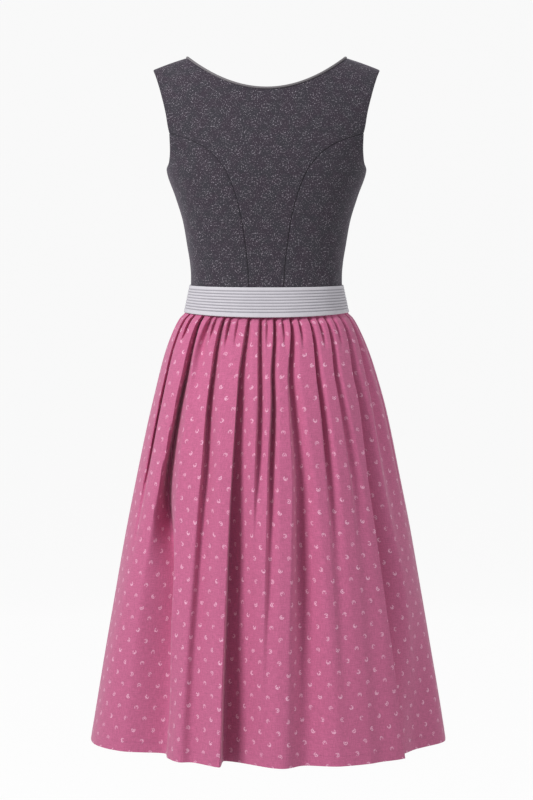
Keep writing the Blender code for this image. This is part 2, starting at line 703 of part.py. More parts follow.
def skirt_columns(gathers, below, start, end):
    """Bearings of a panel's columns of points: its side seams, and each valley with the ends of its flanks."""
    valleys = [start] + [bearing_at(gather, below) for gather in gathers] + [end]
    reach = [flanks_at(gather, below) for gather in gathers]
    reach = [(reach[0][0], reach[0][0])] + reach + [(reach[-1][1], reach[-1][1])]
    row = []
    for one, two, (_, right), (left, _) in zip(valleys, valleys[1:], reach, reach[1:]):
        most = (two - one) * MOST_FLANK
        row += [one, one + min(right, most), two - min(left, most)]
    return row + [end]


def make_skirt_panel(name, gathers, start, end, material):
    """A gathered panel between two side seams, with columns of points that follow its valleys."""
    surface = skirt_surface(BACK_GATHERS + FRONT_GATHERS
                            + tuple(Gather(*(bearing - 360 for bearing in g[:4]), *g[4:])
                                    for g in FRONT_GATHERS if g.bearing > 180))
    rows = [-BAND_OVERLAP] + list(SKIRT_ROWS)
    grid = []
    for below in reversed(rows):
        root = math.sqrt(BAND_FOOT_DROP + below)
        grid.append([(bearing, root) for bearing in skirt_columns(gathers, below, start, end)])
    outer, inner = raise_grid(grid, surface, SKIRT_CLOTH)
    ease_edges(outer, inner, ("left", "right", "top"))
    add_wall(name, outer, inner, material)


def build():
    for old in list(bpy.data.objects):
        bpy.data.objects.remove(old, do_unlink=True)
    plum = (0.075, 0.062, 0.085)
    grey = (0.50, 0.49, 0.53)
    pink = (0.56, 0.13, 0.29)
    make_back_centre(make_material("bodice_back_centre_cotton", plum, 0.85, 0.2))
    for side, right_side in (("left", False), ("right", True)):
        make_side_panel(f"bodice_back_side_{side}", False, right_side,
                        make_material(f"bodice_back_side_{side}_cotton", plum, 0.85, 0.2))
        make_side_panel(f"bodice_front_side_{side}", True, right_side,
                        make_material(f"bodice_front_side_{side}_cotton", plum, 0.85, 0.2))
        make_front(f"bodice_front_{side}", right_side,
                   make_material(f"bodice_front_{side}_cotton", plum, 0.85, 0.2))
    make_neck_binding(make_material("neck_binding_satin", (0.12, 0.11, 0.13), 0.6))
    make_waistband(make_material("waistband_grosgrain", grey, 0.55))
    make_skirt_panel("skirt_back", BACK_GATHERS, -90, 90, make_material("skirt_back_print", pink, 0.8, 0.2))
    make_skirt_panel("skirt_front", FRONT_GATHERS, 90, 270, make_material("skirt_front_print", pink, 0.8, 0.2))


build()
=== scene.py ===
"""A sleeveless dirndl dress, filled out as it is when it is worn, in its printed and woven cottons.

Metres, +Z up. The origin lies midway between the shoulder seams. The back of the dress faces +Y, and the wearer's
right side is at -X. A place on the dress is a bearing, in degrees round from the centre back towards the wearer's
right (180 is the centre front), and a root, the square root of the height that it lies below the shoulder line.
"""

import json
import math
from collections import namedtuple

import bpy
import numpy as np
from mathutils import Vector
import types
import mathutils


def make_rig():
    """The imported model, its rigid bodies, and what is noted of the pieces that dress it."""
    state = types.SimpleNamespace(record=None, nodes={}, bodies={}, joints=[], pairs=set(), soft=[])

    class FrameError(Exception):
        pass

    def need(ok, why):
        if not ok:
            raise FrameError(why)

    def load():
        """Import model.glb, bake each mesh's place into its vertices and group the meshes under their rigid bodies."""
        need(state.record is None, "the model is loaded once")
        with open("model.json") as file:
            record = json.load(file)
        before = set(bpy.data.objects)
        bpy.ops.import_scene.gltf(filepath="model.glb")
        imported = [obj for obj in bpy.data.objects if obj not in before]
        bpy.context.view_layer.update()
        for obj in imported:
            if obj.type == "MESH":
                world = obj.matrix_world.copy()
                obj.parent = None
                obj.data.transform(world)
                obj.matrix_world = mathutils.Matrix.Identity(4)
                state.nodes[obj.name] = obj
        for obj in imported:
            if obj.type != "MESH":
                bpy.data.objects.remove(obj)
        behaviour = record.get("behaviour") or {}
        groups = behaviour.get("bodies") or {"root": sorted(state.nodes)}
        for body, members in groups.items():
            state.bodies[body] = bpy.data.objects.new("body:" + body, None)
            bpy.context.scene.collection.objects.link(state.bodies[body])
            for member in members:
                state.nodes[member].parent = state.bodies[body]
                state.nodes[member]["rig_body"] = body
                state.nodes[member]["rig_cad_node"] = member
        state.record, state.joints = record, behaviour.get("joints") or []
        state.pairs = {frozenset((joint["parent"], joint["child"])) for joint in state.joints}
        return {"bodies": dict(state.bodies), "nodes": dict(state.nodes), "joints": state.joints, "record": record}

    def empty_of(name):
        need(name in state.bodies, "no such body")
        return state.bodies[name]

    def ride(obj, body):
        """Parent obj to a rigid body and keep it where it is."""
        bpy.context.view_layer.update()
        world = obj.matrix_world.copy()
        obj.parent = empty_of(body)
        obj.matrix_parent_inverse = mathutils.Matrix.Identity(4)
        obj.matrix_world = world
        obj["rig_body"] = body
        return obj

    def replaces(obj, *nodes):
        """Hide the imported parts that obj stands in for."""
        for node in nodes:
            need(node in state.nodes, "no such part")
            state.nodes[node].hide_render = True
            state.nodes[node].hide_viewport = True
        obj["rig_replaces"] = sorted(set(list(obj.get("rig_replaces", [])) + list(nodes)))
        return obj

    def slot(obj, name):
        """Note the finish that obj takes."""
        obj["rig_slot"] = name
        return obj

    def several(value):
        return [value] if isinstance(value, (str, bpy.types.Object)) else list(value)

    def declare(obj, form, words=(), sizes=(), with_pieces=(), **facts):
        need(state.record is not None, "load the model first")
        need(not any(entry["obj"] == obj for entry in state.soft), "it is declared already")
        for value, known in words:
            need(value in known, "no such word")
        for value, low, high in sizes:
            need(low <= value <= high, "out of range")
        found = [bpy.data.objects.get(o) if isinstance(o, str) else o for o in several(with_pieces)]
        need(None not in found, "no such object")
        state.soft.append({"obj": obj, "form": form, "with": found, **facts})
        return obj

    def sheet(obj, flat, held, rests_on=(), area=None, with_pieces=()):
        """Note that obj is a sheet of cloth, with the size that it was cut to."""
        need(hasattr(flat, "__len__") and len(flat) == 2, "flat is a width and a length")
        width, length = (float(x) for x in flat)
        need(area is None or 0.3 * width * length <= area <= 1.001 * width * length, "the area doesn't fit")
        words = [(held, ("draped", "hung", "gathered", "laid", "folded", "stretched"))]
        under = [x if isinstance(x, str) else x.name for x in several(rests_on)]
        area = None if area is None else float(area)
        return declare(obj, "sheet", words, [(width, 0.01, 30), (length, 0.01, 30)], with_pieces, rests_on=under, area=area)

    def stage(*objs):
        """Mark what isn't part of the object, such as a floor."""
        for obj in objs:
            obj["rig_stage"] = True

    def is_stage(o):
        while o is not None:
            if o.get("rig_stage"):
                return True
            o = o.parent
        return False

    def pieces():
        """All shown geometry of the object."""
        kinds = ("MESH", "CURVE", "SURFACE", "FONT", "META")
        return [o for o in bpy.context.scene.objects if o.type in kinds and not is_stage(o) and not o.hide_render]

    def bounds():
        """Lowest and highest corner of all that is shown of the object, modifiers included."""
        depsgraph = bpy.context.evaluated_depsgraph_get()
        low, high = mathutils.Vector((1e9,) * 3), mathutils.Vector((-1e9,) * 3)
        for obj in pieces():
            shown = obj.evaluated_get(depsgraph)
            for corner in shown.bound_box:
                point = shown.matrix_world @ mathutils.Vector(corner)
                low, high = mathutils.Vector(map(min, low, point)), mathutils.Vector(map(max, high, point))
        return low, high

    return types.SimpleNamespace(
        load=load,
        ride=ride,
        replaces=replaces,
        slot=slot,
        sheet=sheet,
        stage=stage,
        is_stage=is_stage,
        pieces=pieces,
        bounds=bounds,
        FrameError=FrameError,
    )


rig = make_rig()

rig.load()
cad_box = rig.bounds()
bpy.ops.object.select_all(action="DESELECT")

MM = 0.001


# ---- Centre back panel ----
# One piece of plum-grey cotton, woven with small rosettes, from the waist to both shoulders. The curved back seams
# join it to the side panels, with their allowances pressed inside, and its armhole edges are turned in over a facing.

SHOULDER_TIP_X, SHOULDER_TIP_DROP = 0.1750, 0.0198
NECK_X = 0.1175
SHOULDER_LEVEL = 0.0166          # how far the shoulder line would rise above the neck point at the middle
SHOULDER_FADE, SHOULDER_LEVELLED = 0.05, 0.30    # the drops between which the shoulders' slope dies away
BAND_TOP_DROP, BAND_FOOT_DROP, HEM_DROP = 0.3515, 0.3932, 1.0600
BAND_OVERLAP = 8 * MM            # of the band over the top of the skirt
WAIST_SEAM_DROP = BAND_FOOT_DROP - BAND_OVERLAP
BAND_TOP_DIP, BAND_FOOT_DIP = 1.2 * MM, 4.5 * MM     # how much lower the band hangs at the centre
WAIST_DIP_SHARE = 0.8            # of the way from the top edge's dip to the foot's
BACK_NECK_DROP, BACK_NECK_POWER = 0.0456, 2.0
FRONT_NECK_DROP, FRONT_NECK_POWER = 0.1450, 2.7
BINDING_HEIGHT = 3.2 * MM
BACK_POWER, FRONT_POWER, SKIRT_POWER = 2.45, 2.25, 2.05     # 2 is an elliptical section, more is boxier
HIP, KNEE = 0.150, 0.390                                    # distances below the band
SECTION_FADE = HIP * 0.6         # below the band's top, where the bodice's section has become the skirt's
BUST_X, BUST_DROP, BUST_FULLNESS, BUST_REACH = 0.078, 0.2024, 0.012, 0.045
SLOPE_ROUNDS = 8                 # in which a place's drop and its shoulder slope are made to agree
BODICE_CLOTH = 1.2 * MM
SEAM_GAP = 0.3 * MM


def table(row_kind, *rows):
    """Rows of numbers, with the named columns of their kind."""
    return tuple(row_kind(*row) for row in rows)


# The dress in level sections: the half width, and how far the back and the front stand off the middle.
Section = namedtuple("Section", "drop half_width back front")
SECTIONS = table(
    Section,
    (0.0000, 0.2600, 0.0000, 0.0000),
    (0.0050, 0.2560, 0.0205, 0.0185),
    (0.0150, 0.2490, 0.0345, 0.0305),
    (0.0300, 0.2390, 0.0495, 0.0430),
    (0.0600, 0.2215, 0.0690, 0.0590),
    (0.1000, 0.1930, 0.0855, 0.0790),
    (0.1380, 0.1670, 0.0955, 0.1010),
    (0.1608, 0.1556, 0.0988, 0.1120),
    (0.1750, 0.1543, 0.1000, 0.1170),
    (0.2167, 0.1402, 0.0985, 0.1190),
    (0.2537, 0.1292, 0.0945, 0.1100),
    (0.2909, 0.1228, 0.0905, 0.0985),
    (0.3187, 0.1184, 0.0885, 0.0930),
    (0.3373, 0.1171, 0.0880, 0.0915),
    (0.3515, 0.1171, 0.0885, 0.0920),
    (0.3932, 0.1260, 0.0980, 0.1005),
    (0.4024, 0.1344, 0.1080, 0.1095),
    (0.4211, 0.1447, 0.1200, 0.1195),
    (0.4584, 0.1596, 0.1370, 0.1335),
    (0.5146, 0.1755, 0.1570, 0.1505),
    (0.5895, 0.1930, 0.1750, 0.1665),
    (0.7023, 0.2157, 0.1930, 0.1870),
    (0.8534, 0.2432, 0.2150, 0.2100),
    (1.0600, 0.2780, 0.2450, 0.2420),
)

# Seams and cut edges, from the band up: distance from the middle, and drop.
EdgePoint = namedtuple("EdgePoint", "across drop")
BACK_SEAM = table(
    EdgePoint,
    (0.0266, BAND_TOP_DROP),
    (0.0297, 0.3067),
    (0.0373, 0.2520),
    (0.0486, 0.2074),
    (0.0607, 0.1776),
    (0.0740, 0.1585),
    (0.0905, 0.1428),
    (0.1080, 0.1324),
    (0.1290, 0.1243),
    (0.1490, 0.1182),
)
BACK_ARMHOLE = table(
    EdgePoint,
    (0.1490, 0.1182),
    (0.1545, 0.0873),
    (0.1612, 0.0597),
    (0.1697, 0.0321),
    (SHOULDER_TIP_X, SHOULDER_TIP_DROP),
)


def curve_down(column):
    """A smooth curve through one column of SECTIONS, to be read at any drops, with no overshoot."""
    at = np.sqrt([row.drop for row in SECTIONS])
    value = np.array([getattr(row, column) for row in SECTIONS])
    slope = np.diff(value) / np.diff(at)
    before, after = slope[:-1], slope[1:]
    agree = before * after > 0
    mean = 2 * before * after / np.where(agree, before + after, 1.0)
    tangent = np.concatenate((slope[:1], np.where(agree, mean, 0.0), slope[-1:]))

    def curve(drop):
        place = np.sqrt(np.maximum(drop, 0.0))
        i = np.clip(np.searchsorted(at, place, side="right") - 1, 0, len(at) - 2)
        span = at[i + 1] - at[i]
        t = (place - at[i]) / span
        return (value[i] * (1 + 2 * t) * (1 - t) ** 2 + tangent[i] * span * t * (1 - t) ** 2
                + value[i + 1] * t * t * (3 - 2 * t) + tangent[i + 1] * span * t * t * (t - 1))

    return curve


half_width, back_depth, front_depth = (curve_down(name) for name in ("half_width", "back", "front"))


def mix(first, second, share):
    return first + (second - first) * share


def sizes(vectors):
    return np.linalg.norm(vectors, axis=-1)


def unit(vectors):
    return vectors / np.linalg.norm(vectors, axis=-1, keepdims=True)


def run(steps):
    """The distances along a line of steps, from 0 at its start."""
    return np.concatenate(([0.0], steps.cumsum()))


def smooth_step(value):
    share = np.clip(value, 0.0, 1.0)
    return share * share * (3 - 2 * share)


def shoulder_fall(across, drop):
    """How far the shoulder line lies below the neck point, a distance across from the middle."""
    slope = (SHOULDER_TIP_DROP + SHOULDER_LEVEL) * (across / SHOULDER_TIP_X) ** 2 - SHOULDER_LEVEL
    return slope * smooth_step((SHOULDER_LEVELLED - drop) / (SHOULDER_LEVELLED - SHOULDER_FADE))


def wall(places):
    """The points of the dress's outer surface at an array of (bearing, root) places."""
    turn = np.radians(places[..., 0])
    below = places[..., 1] ** 2
    at_front = np.cos(turn) < 0
    side = np.minimum(np.abs(np.sin(turn)), 1.0)
    drop = below
    for _ in range(SLOPE_ROUNDS):
        across = half_width(drop) * side
        drop = below + shoulder_fall(across, drop)
    fade = smooth_step((drop - BAND_TOP_DROP) / SECTION_FADE)
    power = mix(np.where(at_front, FRONT_POWER, BACK_POWER), SKIRT_POWER, fade)
    roundness = np.maximum(1 - side ** power, 0.0) ** (1 / power)
    bust = BUST_FULLNESS * np.exp(-((across - BUST_X) / BUST_REACH) ** 2 - ((drop - BUST_DROP) / BUST_REACH) ** 2)
    y = np.where(at_front, -front_depth(below) * roundness - bust * (1 - side ** 6), back_depth(below) * roundness)
    return np.stack((-np.copysign(across, np.sin(turn)), y, -drop), axis=-1)


def place(across, drop, at_front=False):
    """The (bearing, root) of a point on the wearer's right that lies a distance across at a drop."""
    bearing = math.degrees(math.asin(min(across / float(half_width(drop)), 1.0)))
    return (180 - bearing if at_front else bearing, math.sqrt(max(drop - shoulder_fall(across, drop), 0.0)))


def waist_dip(bearing):
    return mix(BAND_TOP_DIP, BAND_FOOT_DIP, WAIST_DIP_SHARE) * np.cos(np.radians(bearing)) ** 2


BEARING_WEIGHT, ROOT_WEIGHT = 0.0025, 0.8        # metres, about, to one of each on the surface
CURVE_STEPS = 12


def line(points):
    """A line through (bearing, root) places, as a function of 0 to 1 along it."""
    points = np.array(points, dtype=float)
    steps = np.hypot(np.diff(points[:, 0]) * BEARING_WEIGHT, np.diff(points[:, 1]) * ROOT_WEIGHT)
    along = np.concatenate(([0.0], np.cumsum(steps))) / steps.sum()
    return lambda t: np.stack([np.interp(t, along, points[:, k]) for k in (0, 1)], axis=-1)


def smooth_line(points):
    """A smooth curve through (bearing, root) places, as a line of short steps."""
    points = np.array(points, dtype=float)
    ends = np.concatenate((points[:1], points, points[-1:]))
    t = np.arange(CURVE_STEPS)[:, None] / CURVE_STEPS
    fine = [0.5 * (2 * b + (c - a) * t + (2 * a - 5 * b + 4 * c - d) * t * t + (3 * b - a - 3 * c + d) * t ** 3)
            for a, b, c, d in zip(ends, ends[1:], ends[2:], ends[3:])]
    return line(np.concatenate(fine + [points[-1:]]))


def joined(*stretches):
    """Lines end to end, each given with its share of the 0 to 1 along them all."""
    ends = np.cumsum([share for share, _ in stretches])
    starts = ends - [share for share, _ in stretches]

    def along(t):
        which = np.clip(np.searchsorted(ends, t - 1e-9), 0, len(stretches) - 1)
        found = np.zeros(t.shape + (2,))
        for i, (share, part) in enumerate(stretches):
            found[which == i] = part((t[which == i] - starts[i]) / share)
        return found

    return along


def mirrored(edge):
    """The same line on the wearer's left."""
    return lambda t: edge(t) * (-1, 1)


def patch(bottom, top, left, right, columns, rows, top_from=0.0):
    """Places between four lines, rows from the bottom up. The top line's shape fades in above top_from."""
    a, b = columns[None, :, None], rows[:, None, None]
    high = np.clip((b - top_from) / (1 - top_from), 0, 1)
    low_line, top_line = bottom(columns), top(columns)
    return (mix(left(rows)[:, None], right(rows)[:, None], a)
            + (1 - b) * (low_line - mix(low_line[0], low_line[-1], a[0]))
            + high * (top_line - mix(top_line[0], top_line[-1], a[0])))


def steps(count):
    """Even steps from 0 to 1, with two more in the first and the last, where seams turn in."""
    return np.concatenate(([0, 0.3, 0.6], np.arange(1, count), [count - 0.6, count - 0.3, count])) / count


def outward(points):
    """Unit normals of a grid of points, rows up and columns towards the wearer's right."""
    up, along = np.gradient(points, axis=0), np.gradient(points, axis=1)
    return unit(np.cross(along, up))


def from_edges(points, sides):
    """How far each point of a grid lies from the nearest of its named edges."""
    across = sizes(np.diff(points, axis=1)).cumsum(axis=1)
    across = np.concatenate((np.zeros_like(across[:, :1]), across), axis=1)
    up = sizes(np.diff(points, axis=0)).cumsum(axis=0)
    up = np.concatenate((np.zeros_like(up[:1]), up), axis=0)
    away = {"left": across, "right": across[:, -1:] - across, "bottom": up, "top": up[-1:] - up}
    return np.min([away[side] for side in sides], axis=0)


def cloth_shell(name, points, pattern, thickness, material, slot, edge_distance=None):
    """A sheet of cloth over a grid of points, rows up and columns towards the wearer's right, given its thickness
    inwards. pattern holds each point's place in the cloth, in metres, for the UV map."""
    rows, columns = points.shape[:2]
    index = np.arange(rows * columns).reshape(rows, columns)
    quads = np.stack((index[:-1, :-1], index[:-1, 1:], index[1:, 1:], index[1:, :-1]), axis=-1).reshape(-1, 4)
    mesh = bpy.data.meshes.new(name)
    mesh.from_pydata(points.reshape(-1, 3).tolist(), [], quads.tolist())
    mesh.uv_layers.new(name="Cloth").data.foreach_set("uv", pattern.reshape(-1, 2)[quads.reshape(-1)].reshape(-1))
    # The edge attribute feeds painted shade in the materials: distance from the seams and edges on the bodice, groove
    # depth on the band.
    if edge_distance is not None:
        mesh.attributes.new("edge", "FLOAT", "POINT").data.foreach_set("value", edge_distance.reshape(-1))
    mesh.materials.append(material)
    piece = bpy.data.objects.new(name, mesh)
    bpy.context.scene.collection.objects.link(piece)
    bpy.context.view_layer.objects.active = piece
    piece.select_set(True)
    thicken = piece.modifiers.new("Thickness", "SOLIDIFY")
    thicken.thickness, thicken.offset = thickness, -1
    bpy.ops.object.modifier_apply(modifier=thicken.name)
    bpy.ops.object.shade_smooth_by_angle(angle=math.radians(60))
    piece.select_set(False)
    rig.ride(piece, "root")
    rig.slot(piece, slot)
    return piece


SEAM_DEPTH, SEAM_REACH = 1.3 * MM, 1.3 * MM      # how far a sewn edge sinks, and how far from the seam it starts
EDGE_DEPTH, EDGE_REACH = 0.9 * MM, 1.0 * MM      # the roll of an edge that is turned in
WELT_SHARE, WELT_AWAY, WELT_WIDTH = 0.25, 4 * MM, 3 * MM     # the dip beside the allowances pressed in a seam
RIPPLE, CALM_REACH = 0.5 * MM, 20 * MM           # of the worn cloth, and how far from a seam it is held flat
RIPPLE_SPAN, RIPPLE_UPRIGHT = 0.09, 0.5
WAVES = 14
LEAST_CUT = 0.010


def cut_size(pattern):
    """The width, length and area of a piece's flat cut, from its points' places in the cloth."""
    one = pattern[1:, 1:] - pattern[:-1, :-1]
    two = pattern[1:, :-1] - pattern[:-1, 1:]
    area = np.abs(one[..., 0] * two[..., 1] - one[..., 1] * two[..., 0]).sum() / 2
    size = np.ptp(pattern.reshape(-1, 2), axis=0)
    width, length = (max(round(float(side) + 0.5 * MM, 3), LEAST_CUT) for side in size)
    return {"flat": (width, length), "area": min(round(float(area), 4), width * length)}


def ripples(points, seed, scale, stretch=1.0):
    """A smooth unevenness of -1 to 1 over points, from a few seeded waves."""
    random = np.random.default_rng(seed)
    total = np.zeros(points.shape[:-1])
    for _ in range(WAVES):
        direction = random.normal(size=3) * (1, 1, stretch)
        total += np.sin(points @ direction * (2 * math.pi / scale) + random.uniform(0, 2 * math.pi))
    return total / (WAVES / 2)


def pressed(points, seams, edges, seed):
    """Points of a panel with its sewn edges sunk into their seams, its turned edges rolled in, and soft ripples."""
    away = from_edges(points, seams)
    sink = SEAM_DEPTH * np.exp(-(away / SEAM_REACH) ** 2)
    sink += SEAM_DEPTH * WELT_SHARE * np.exp(-((away - WELT_AWAY) / WELT_WIDTH) ** 2)
    if edges:
        sink += EDGE_DEPTH * np.exp(-from_edges(points, edges) / EDGE_REACH)
    calm = smooth_step(away / CALM_REACH)
    normal = outward(points)
    return points + normal * (RIPPLE * calm * ripples(points, seed, RIPPLE_SPAN, RIPPLE_UPRIGHT) - sink)[..., None]


MEASURE_POINTS = 17


def woven_place(places, middle):
    """Each place's distance round from a bearing and up from the waist, in metres, over the surface."""
    share = np.linspace(0, 1, MEASURE_POINTS)
    bearing = mix(middle, places[..., :1], share)
    root = np.broadcast_to(places[..., 1:], bearing.shape)
    around = sizes(np.diff(wall(np.stack((bearing, root), -1)), axis=-2)).sum(axis=-1)
    root = mix(math.sqrt(WAIST_SEAM_DROP), places[..., 1:], share)
    bearing = np.broadcast_to(places[..., :1], root.shape)
    up = sizes(np.diff(wall(np.stack((bearing, root), -1)), axis=-2)).sum(axis=-1)
    return np.stack((np.copysign(around, places[..., 0] - middle), up), axis=-1)


class Recipe:
    """A cloth's material, built up node by node. Sockets and plain numbers are given alike."""

    def __init__(self, name):
        self.material = bpy.data.materials.new(name)
        self.material.use_nodes = True
        self.tree = self.material.node_tree
        self.shader = self.tree.nodes["Principled BSDF"]

    def node(self, kind, inputs=None, **settings):
        made = self.tree.nodes.new("ShaderNode" + kind)
        for setting, value in settings.items():
            setattr(made, setting, value)
        for socket, value in (inputs or {}).items():
            self.feed(made.inputs[socket], value)
        return made

    def feed(self, socket, value):
        if isinstance(value, bpy.types.NodeSocket):
            self.tree.links.new(value, socket)
        else:
            socket.default_value = value

    def sum(self, operation, *values):
        return self.node("Math", dict(enumerate(values)), operation=operation).outputs[0]

    def times(self, *values):
        return self.sum("MULTIPLY", *values)

    def plus(self, *values):
        return self.sum("ADD", *values)

    def minus(self, *values):
        return self.sum("SUBTRACT", *values)

    def hypot(self, x, y):
        return self.sum("SQRT", self.plus(self.times(x, x), self.times(y, y)))

    def between(self, value, low, high, start=0.0, end=1.0):
        """start to end, smoothly, as value goes from low to high."""
        return self.node("MapRange", {0: value, 1: low, 2: high, 3: start, 4: end},
                         interpolation_type="SMOOTHSTEP").outputs[0]

    def blend(self, share, first, second, how="MIX"):
        made = self.node("Mix", {0: share}, data_type="RGBA", blend_type=how)
        self.feed(made.inputs[6], first)
        self.feed(made.inputs[7], second)
        return made.outputs[2]

    def noise(self, vector, scale, detail=2.0, roughness=0.5):
        return self.node("TexNoise", {"Vector": vector, "Scale": scale, "Detail": detail,
                                      "Roughness": roughness}).outputs[0]

    def stretched(self, vector, along_x, along_y):
        return self.node("VectorMath", {0: vector, 1: (along_x, along_y, 1.0)}, operation="MULTIPLY").outputs[0]

    def lattice(self, cloth, across, up):
        """The nearest point of a lattice whose alternate rows stand half a step over: the offset to it, in metres,
        and four random numbers of its own."""
        split = self.node("SeparateXYZ", {0: cloth}).outputs
        best = None
        for shift in (0.0, 0.5):
            cells = [self.plus(self.sum("DIVIDE", split[k], size), shift + 0.5)
                     for k, size in ((0, across), (1, 2 * up))]
            floors = [self.sum("FLOOR", cell) for cell in cells]
            offsets = [self.times(self.minus(self.minus(cell, low), 0.5), size)
                       for cell, low, size in zip(cells, floors, (across, 2 * up))]
            spot = self.node("CombineXYZ", {0: floors[0], 1: floors[1], 2: shift}).outputs[0]
            offset = self.node("CombineXYZ", {0: offsets[0], 1: offsets[1], 2: 0.0}).outputs[0]
            length = self.node("VectorMath", {0: offset}, operation="LENGTH").outputs["Value"]
            if best is None:
                best = (length, offset, spot)
            else:
                nearer = self.sum("LESS_THAN", length, best[0])
                picks = []
                for old, new in ((best[1], offset), (best[2], spot)):
                    pick = self.node("Mix", {0: nearer}, data_type="VECTOR")
                    self.feed(pick.inputs[4], old)
                    self.feed(pick.inputs[5], new)
                    picks.append(pick.outputs[1])
                offset, spot = picks
        random = self.node("TexWhiteNoise", {"Vector": spot}, noise_dimensions="3D")
        return offset, random.outputs["Color"], random.outputs["Value"]

    def shaded(self, colour, depth):
        grey = self.node("CombineColor", {0: depth, 1: depth, 2: depth}).outputs[0]
        return self.blend(1.0, colour, grey, "MULTIPLY")

    def finish(self, colour, height, distance, roughness, sheen, sheen_tint):
        bump = self.node("Bump", {"Height": height, "Distance": distance, "Strength": 0.7})
        self.feed(self.shader.inputs["Base Color"], colour)
        self.feed(self.shader.inputs["Normal"], bump.outputs[0])
        self.feed(self.shader.inputs["Roughness"], roughness)
        self.shader.inputs["Specular IOR Level"].default_value = 0.25
        self.shader.inputs["Sheen Weight"].default_value = sheen
        self.shader.inputs["Sheen Roughness"].default_value = 0.5
        self.shader.inputs["Sheen Tint"].default_value = (*sheen_tint, 1.0)
        return self.material


PLUM = (0.035, 0.026, 0.038, 1.0)
SLATE = (0.032, 0.029, 0.038, 1.0)
ROSETTE_LIGHT = (0.30, 0.27, 0.31, 1.0)
# The near-black of the painted shade in the seam ditches and along the turned edges.
SEAM_PAINTED_SHADE = (0.012, 0.010, 0.014, 1.0)
ROSETTE_ACROSS, ROSETTE_UP = 31 * MM, 22 * MM


def rosette_cotton():
    """Plum and slate threads, with fine pale flecks that gather into rosettes on a diamond lattice."""
    recipe = Recipe("rosette_cotton")
    cloth = recipe.node("UVMap", uv_map="Cloth").outputs[0]
    offset, _, _ = recipe.lattice(cloth, ROSETTE_ACROSS, ROSETTE_UP)
    split = recipe.node("SeparateXYZ", {0: offset}).outputs
    radius = recipe.node("VectorMath", {0: offset}, operation="LENGTH").outputs["Value"]
    angle = recipe.sum("ARCTAN2", split[1], split[0])
    petals = recipe.times(recipe.sum("COSINE", recipe.times(angle, 6.0)), 1.2 * MM)
    wavy = recipe.plus(radius, petals)
    ring = recipe.times(recipe.between(wavy, 4.5 * MM, 6.0 * MM), recipe.between(wavy, 9.0 * MM, 7.0 * MM))
    rosette = recipe.sum("MAXIMUM", ring, recipe.between(wavy, 2.6 * MM, 1.4 * MM))
    flecks = recipe.noise(recipe.stretched(cloth, 1.0, 0.8), 620.0, 1.0)
    grain = recipe.noise(cloth, 900.0, 2.0, 0.7)
    tone = recipe.noise(cloth, 45.0, 2.0)
    colour = recipe.blend(recipe.between(tone, 0.35, 0.65), PLUM, SLATE)
    depth = recipe.between(grain, 0.25, 0.75, 0.55, 1.45)
    colour = recipe.shaded(colour, depth)
    plenty = recipe.times(rosette, 0.07)
    bright = recipe.between(recipe.plus(flecks, plenty), 0.60, 0.72, 0.0, 0.75)
    colour = recipe.blend(bright, colour, ROSETTE_LIGHT)
    # Painted shade: the cloth darkens towards near-black within about a millimetre of the seams, the neck edge and the
    # armhole edges, where shade falls in the ditch.
    edge = recipe.node("Attribute", attribute_name="edge").outputs["Fac"]
    colour = recipe.blend(recipe.between(edge, 0.2 * MM, 1.3 * MM, 0.85, 0.0), colour, SEAM_PAINTED_SHADE)
    height = recipe.plus(grain, recipe.times(bright, 0.6))
    return recipe.finish(colour, height, 0.25 * MM, 0.82, 0.25, (0.6, 0.55, 0.65))


bodice_cotton = rosette_cotton()


def bodice_panel(name, node, places, middle, sewn, turned, seed):
    """A panel of the bodice over a grid of places, its weave counted out from the bearing of its middle line. sewn
    names its seams and turned its turned-in edges."""
    points = pressed(wall(places), sewn, turned, seed)
    pattern = woven_place(places, middle)
    # The distance from the seams and the top edge goes to the material, which darkens the cloth there with painted
    # shade.
    panel = cloth_shell(name, points, pattern, BODICE_CLOTH, bodice_cotton, "bodice_cotton",
                        from_edges(points, ("left", "right", "top")))
    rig.sheet(panel, **cut_size(pattern), held="stretched", rests_on=["waistband"])
    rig.replaces(panel, node)


def up_seam(rows, at_front=False):
    """The line of a curved seam or armhole on the wearer's right."""
    return smooth_line([place(row.across, row.drop, at_front) for row in rows])


def from_waist(edge):
    """A line that starts at the band's top edge, carried down under the band to the waist seam."""
    start = edge(np.array([0.0]))[0]
    foot = (start[0], math.sqrt(WAIST_SEAM_DROP + waist_dip(start[0])))
    return joined((1 / SEAM_STEPS, line([foot, start])), (1 - 1 / SEAM_STEPS, edge))


def along_waist(start, end):
    bearings = np.linspace(start, end, 25)
    return line(np.stack((bearings, np.sqrt(WAIST_SEAM_DROP + waist_dip(bearings))), axis=-1))


def neckline(at_front):
    """The panels' neck edge on the wearer's right, from the middle to the shoulder seam."""
    widest = NECK_X + BINDING_HEIGHT
    lowest = (FRONT_NECK_DROP if at_front else BACK_NECK_DROP) + BINDING_HEIGHT
    power = FRONT_NECK_POWER if at_front else BACK_NECK_POWER
    places = []
    for share in np.sin(np.radians(np.linspace(0, 90, 60))):
        drop = mix(shoulder_fall(widest, 0.0), lowest, 1 - share ** power)
        places.append(place(widest * share, drop, at_front))
    if at_front:
        places[0] = (180.0, places[0][1])
    return line(places)


def shoulder_seam(at_front):
    """From the tip of the shoulder to the neck."""
    across = np.linspace(SHOULDER_TIP_X, NECK_X + BINDING_HEIGHT, 12)
    return line([(place(x, shoulder_fall(x, 0.0), at_front)[0], 0.0) for x in across])


def backwards(edge):
    return lambda t: edge(1 - t)


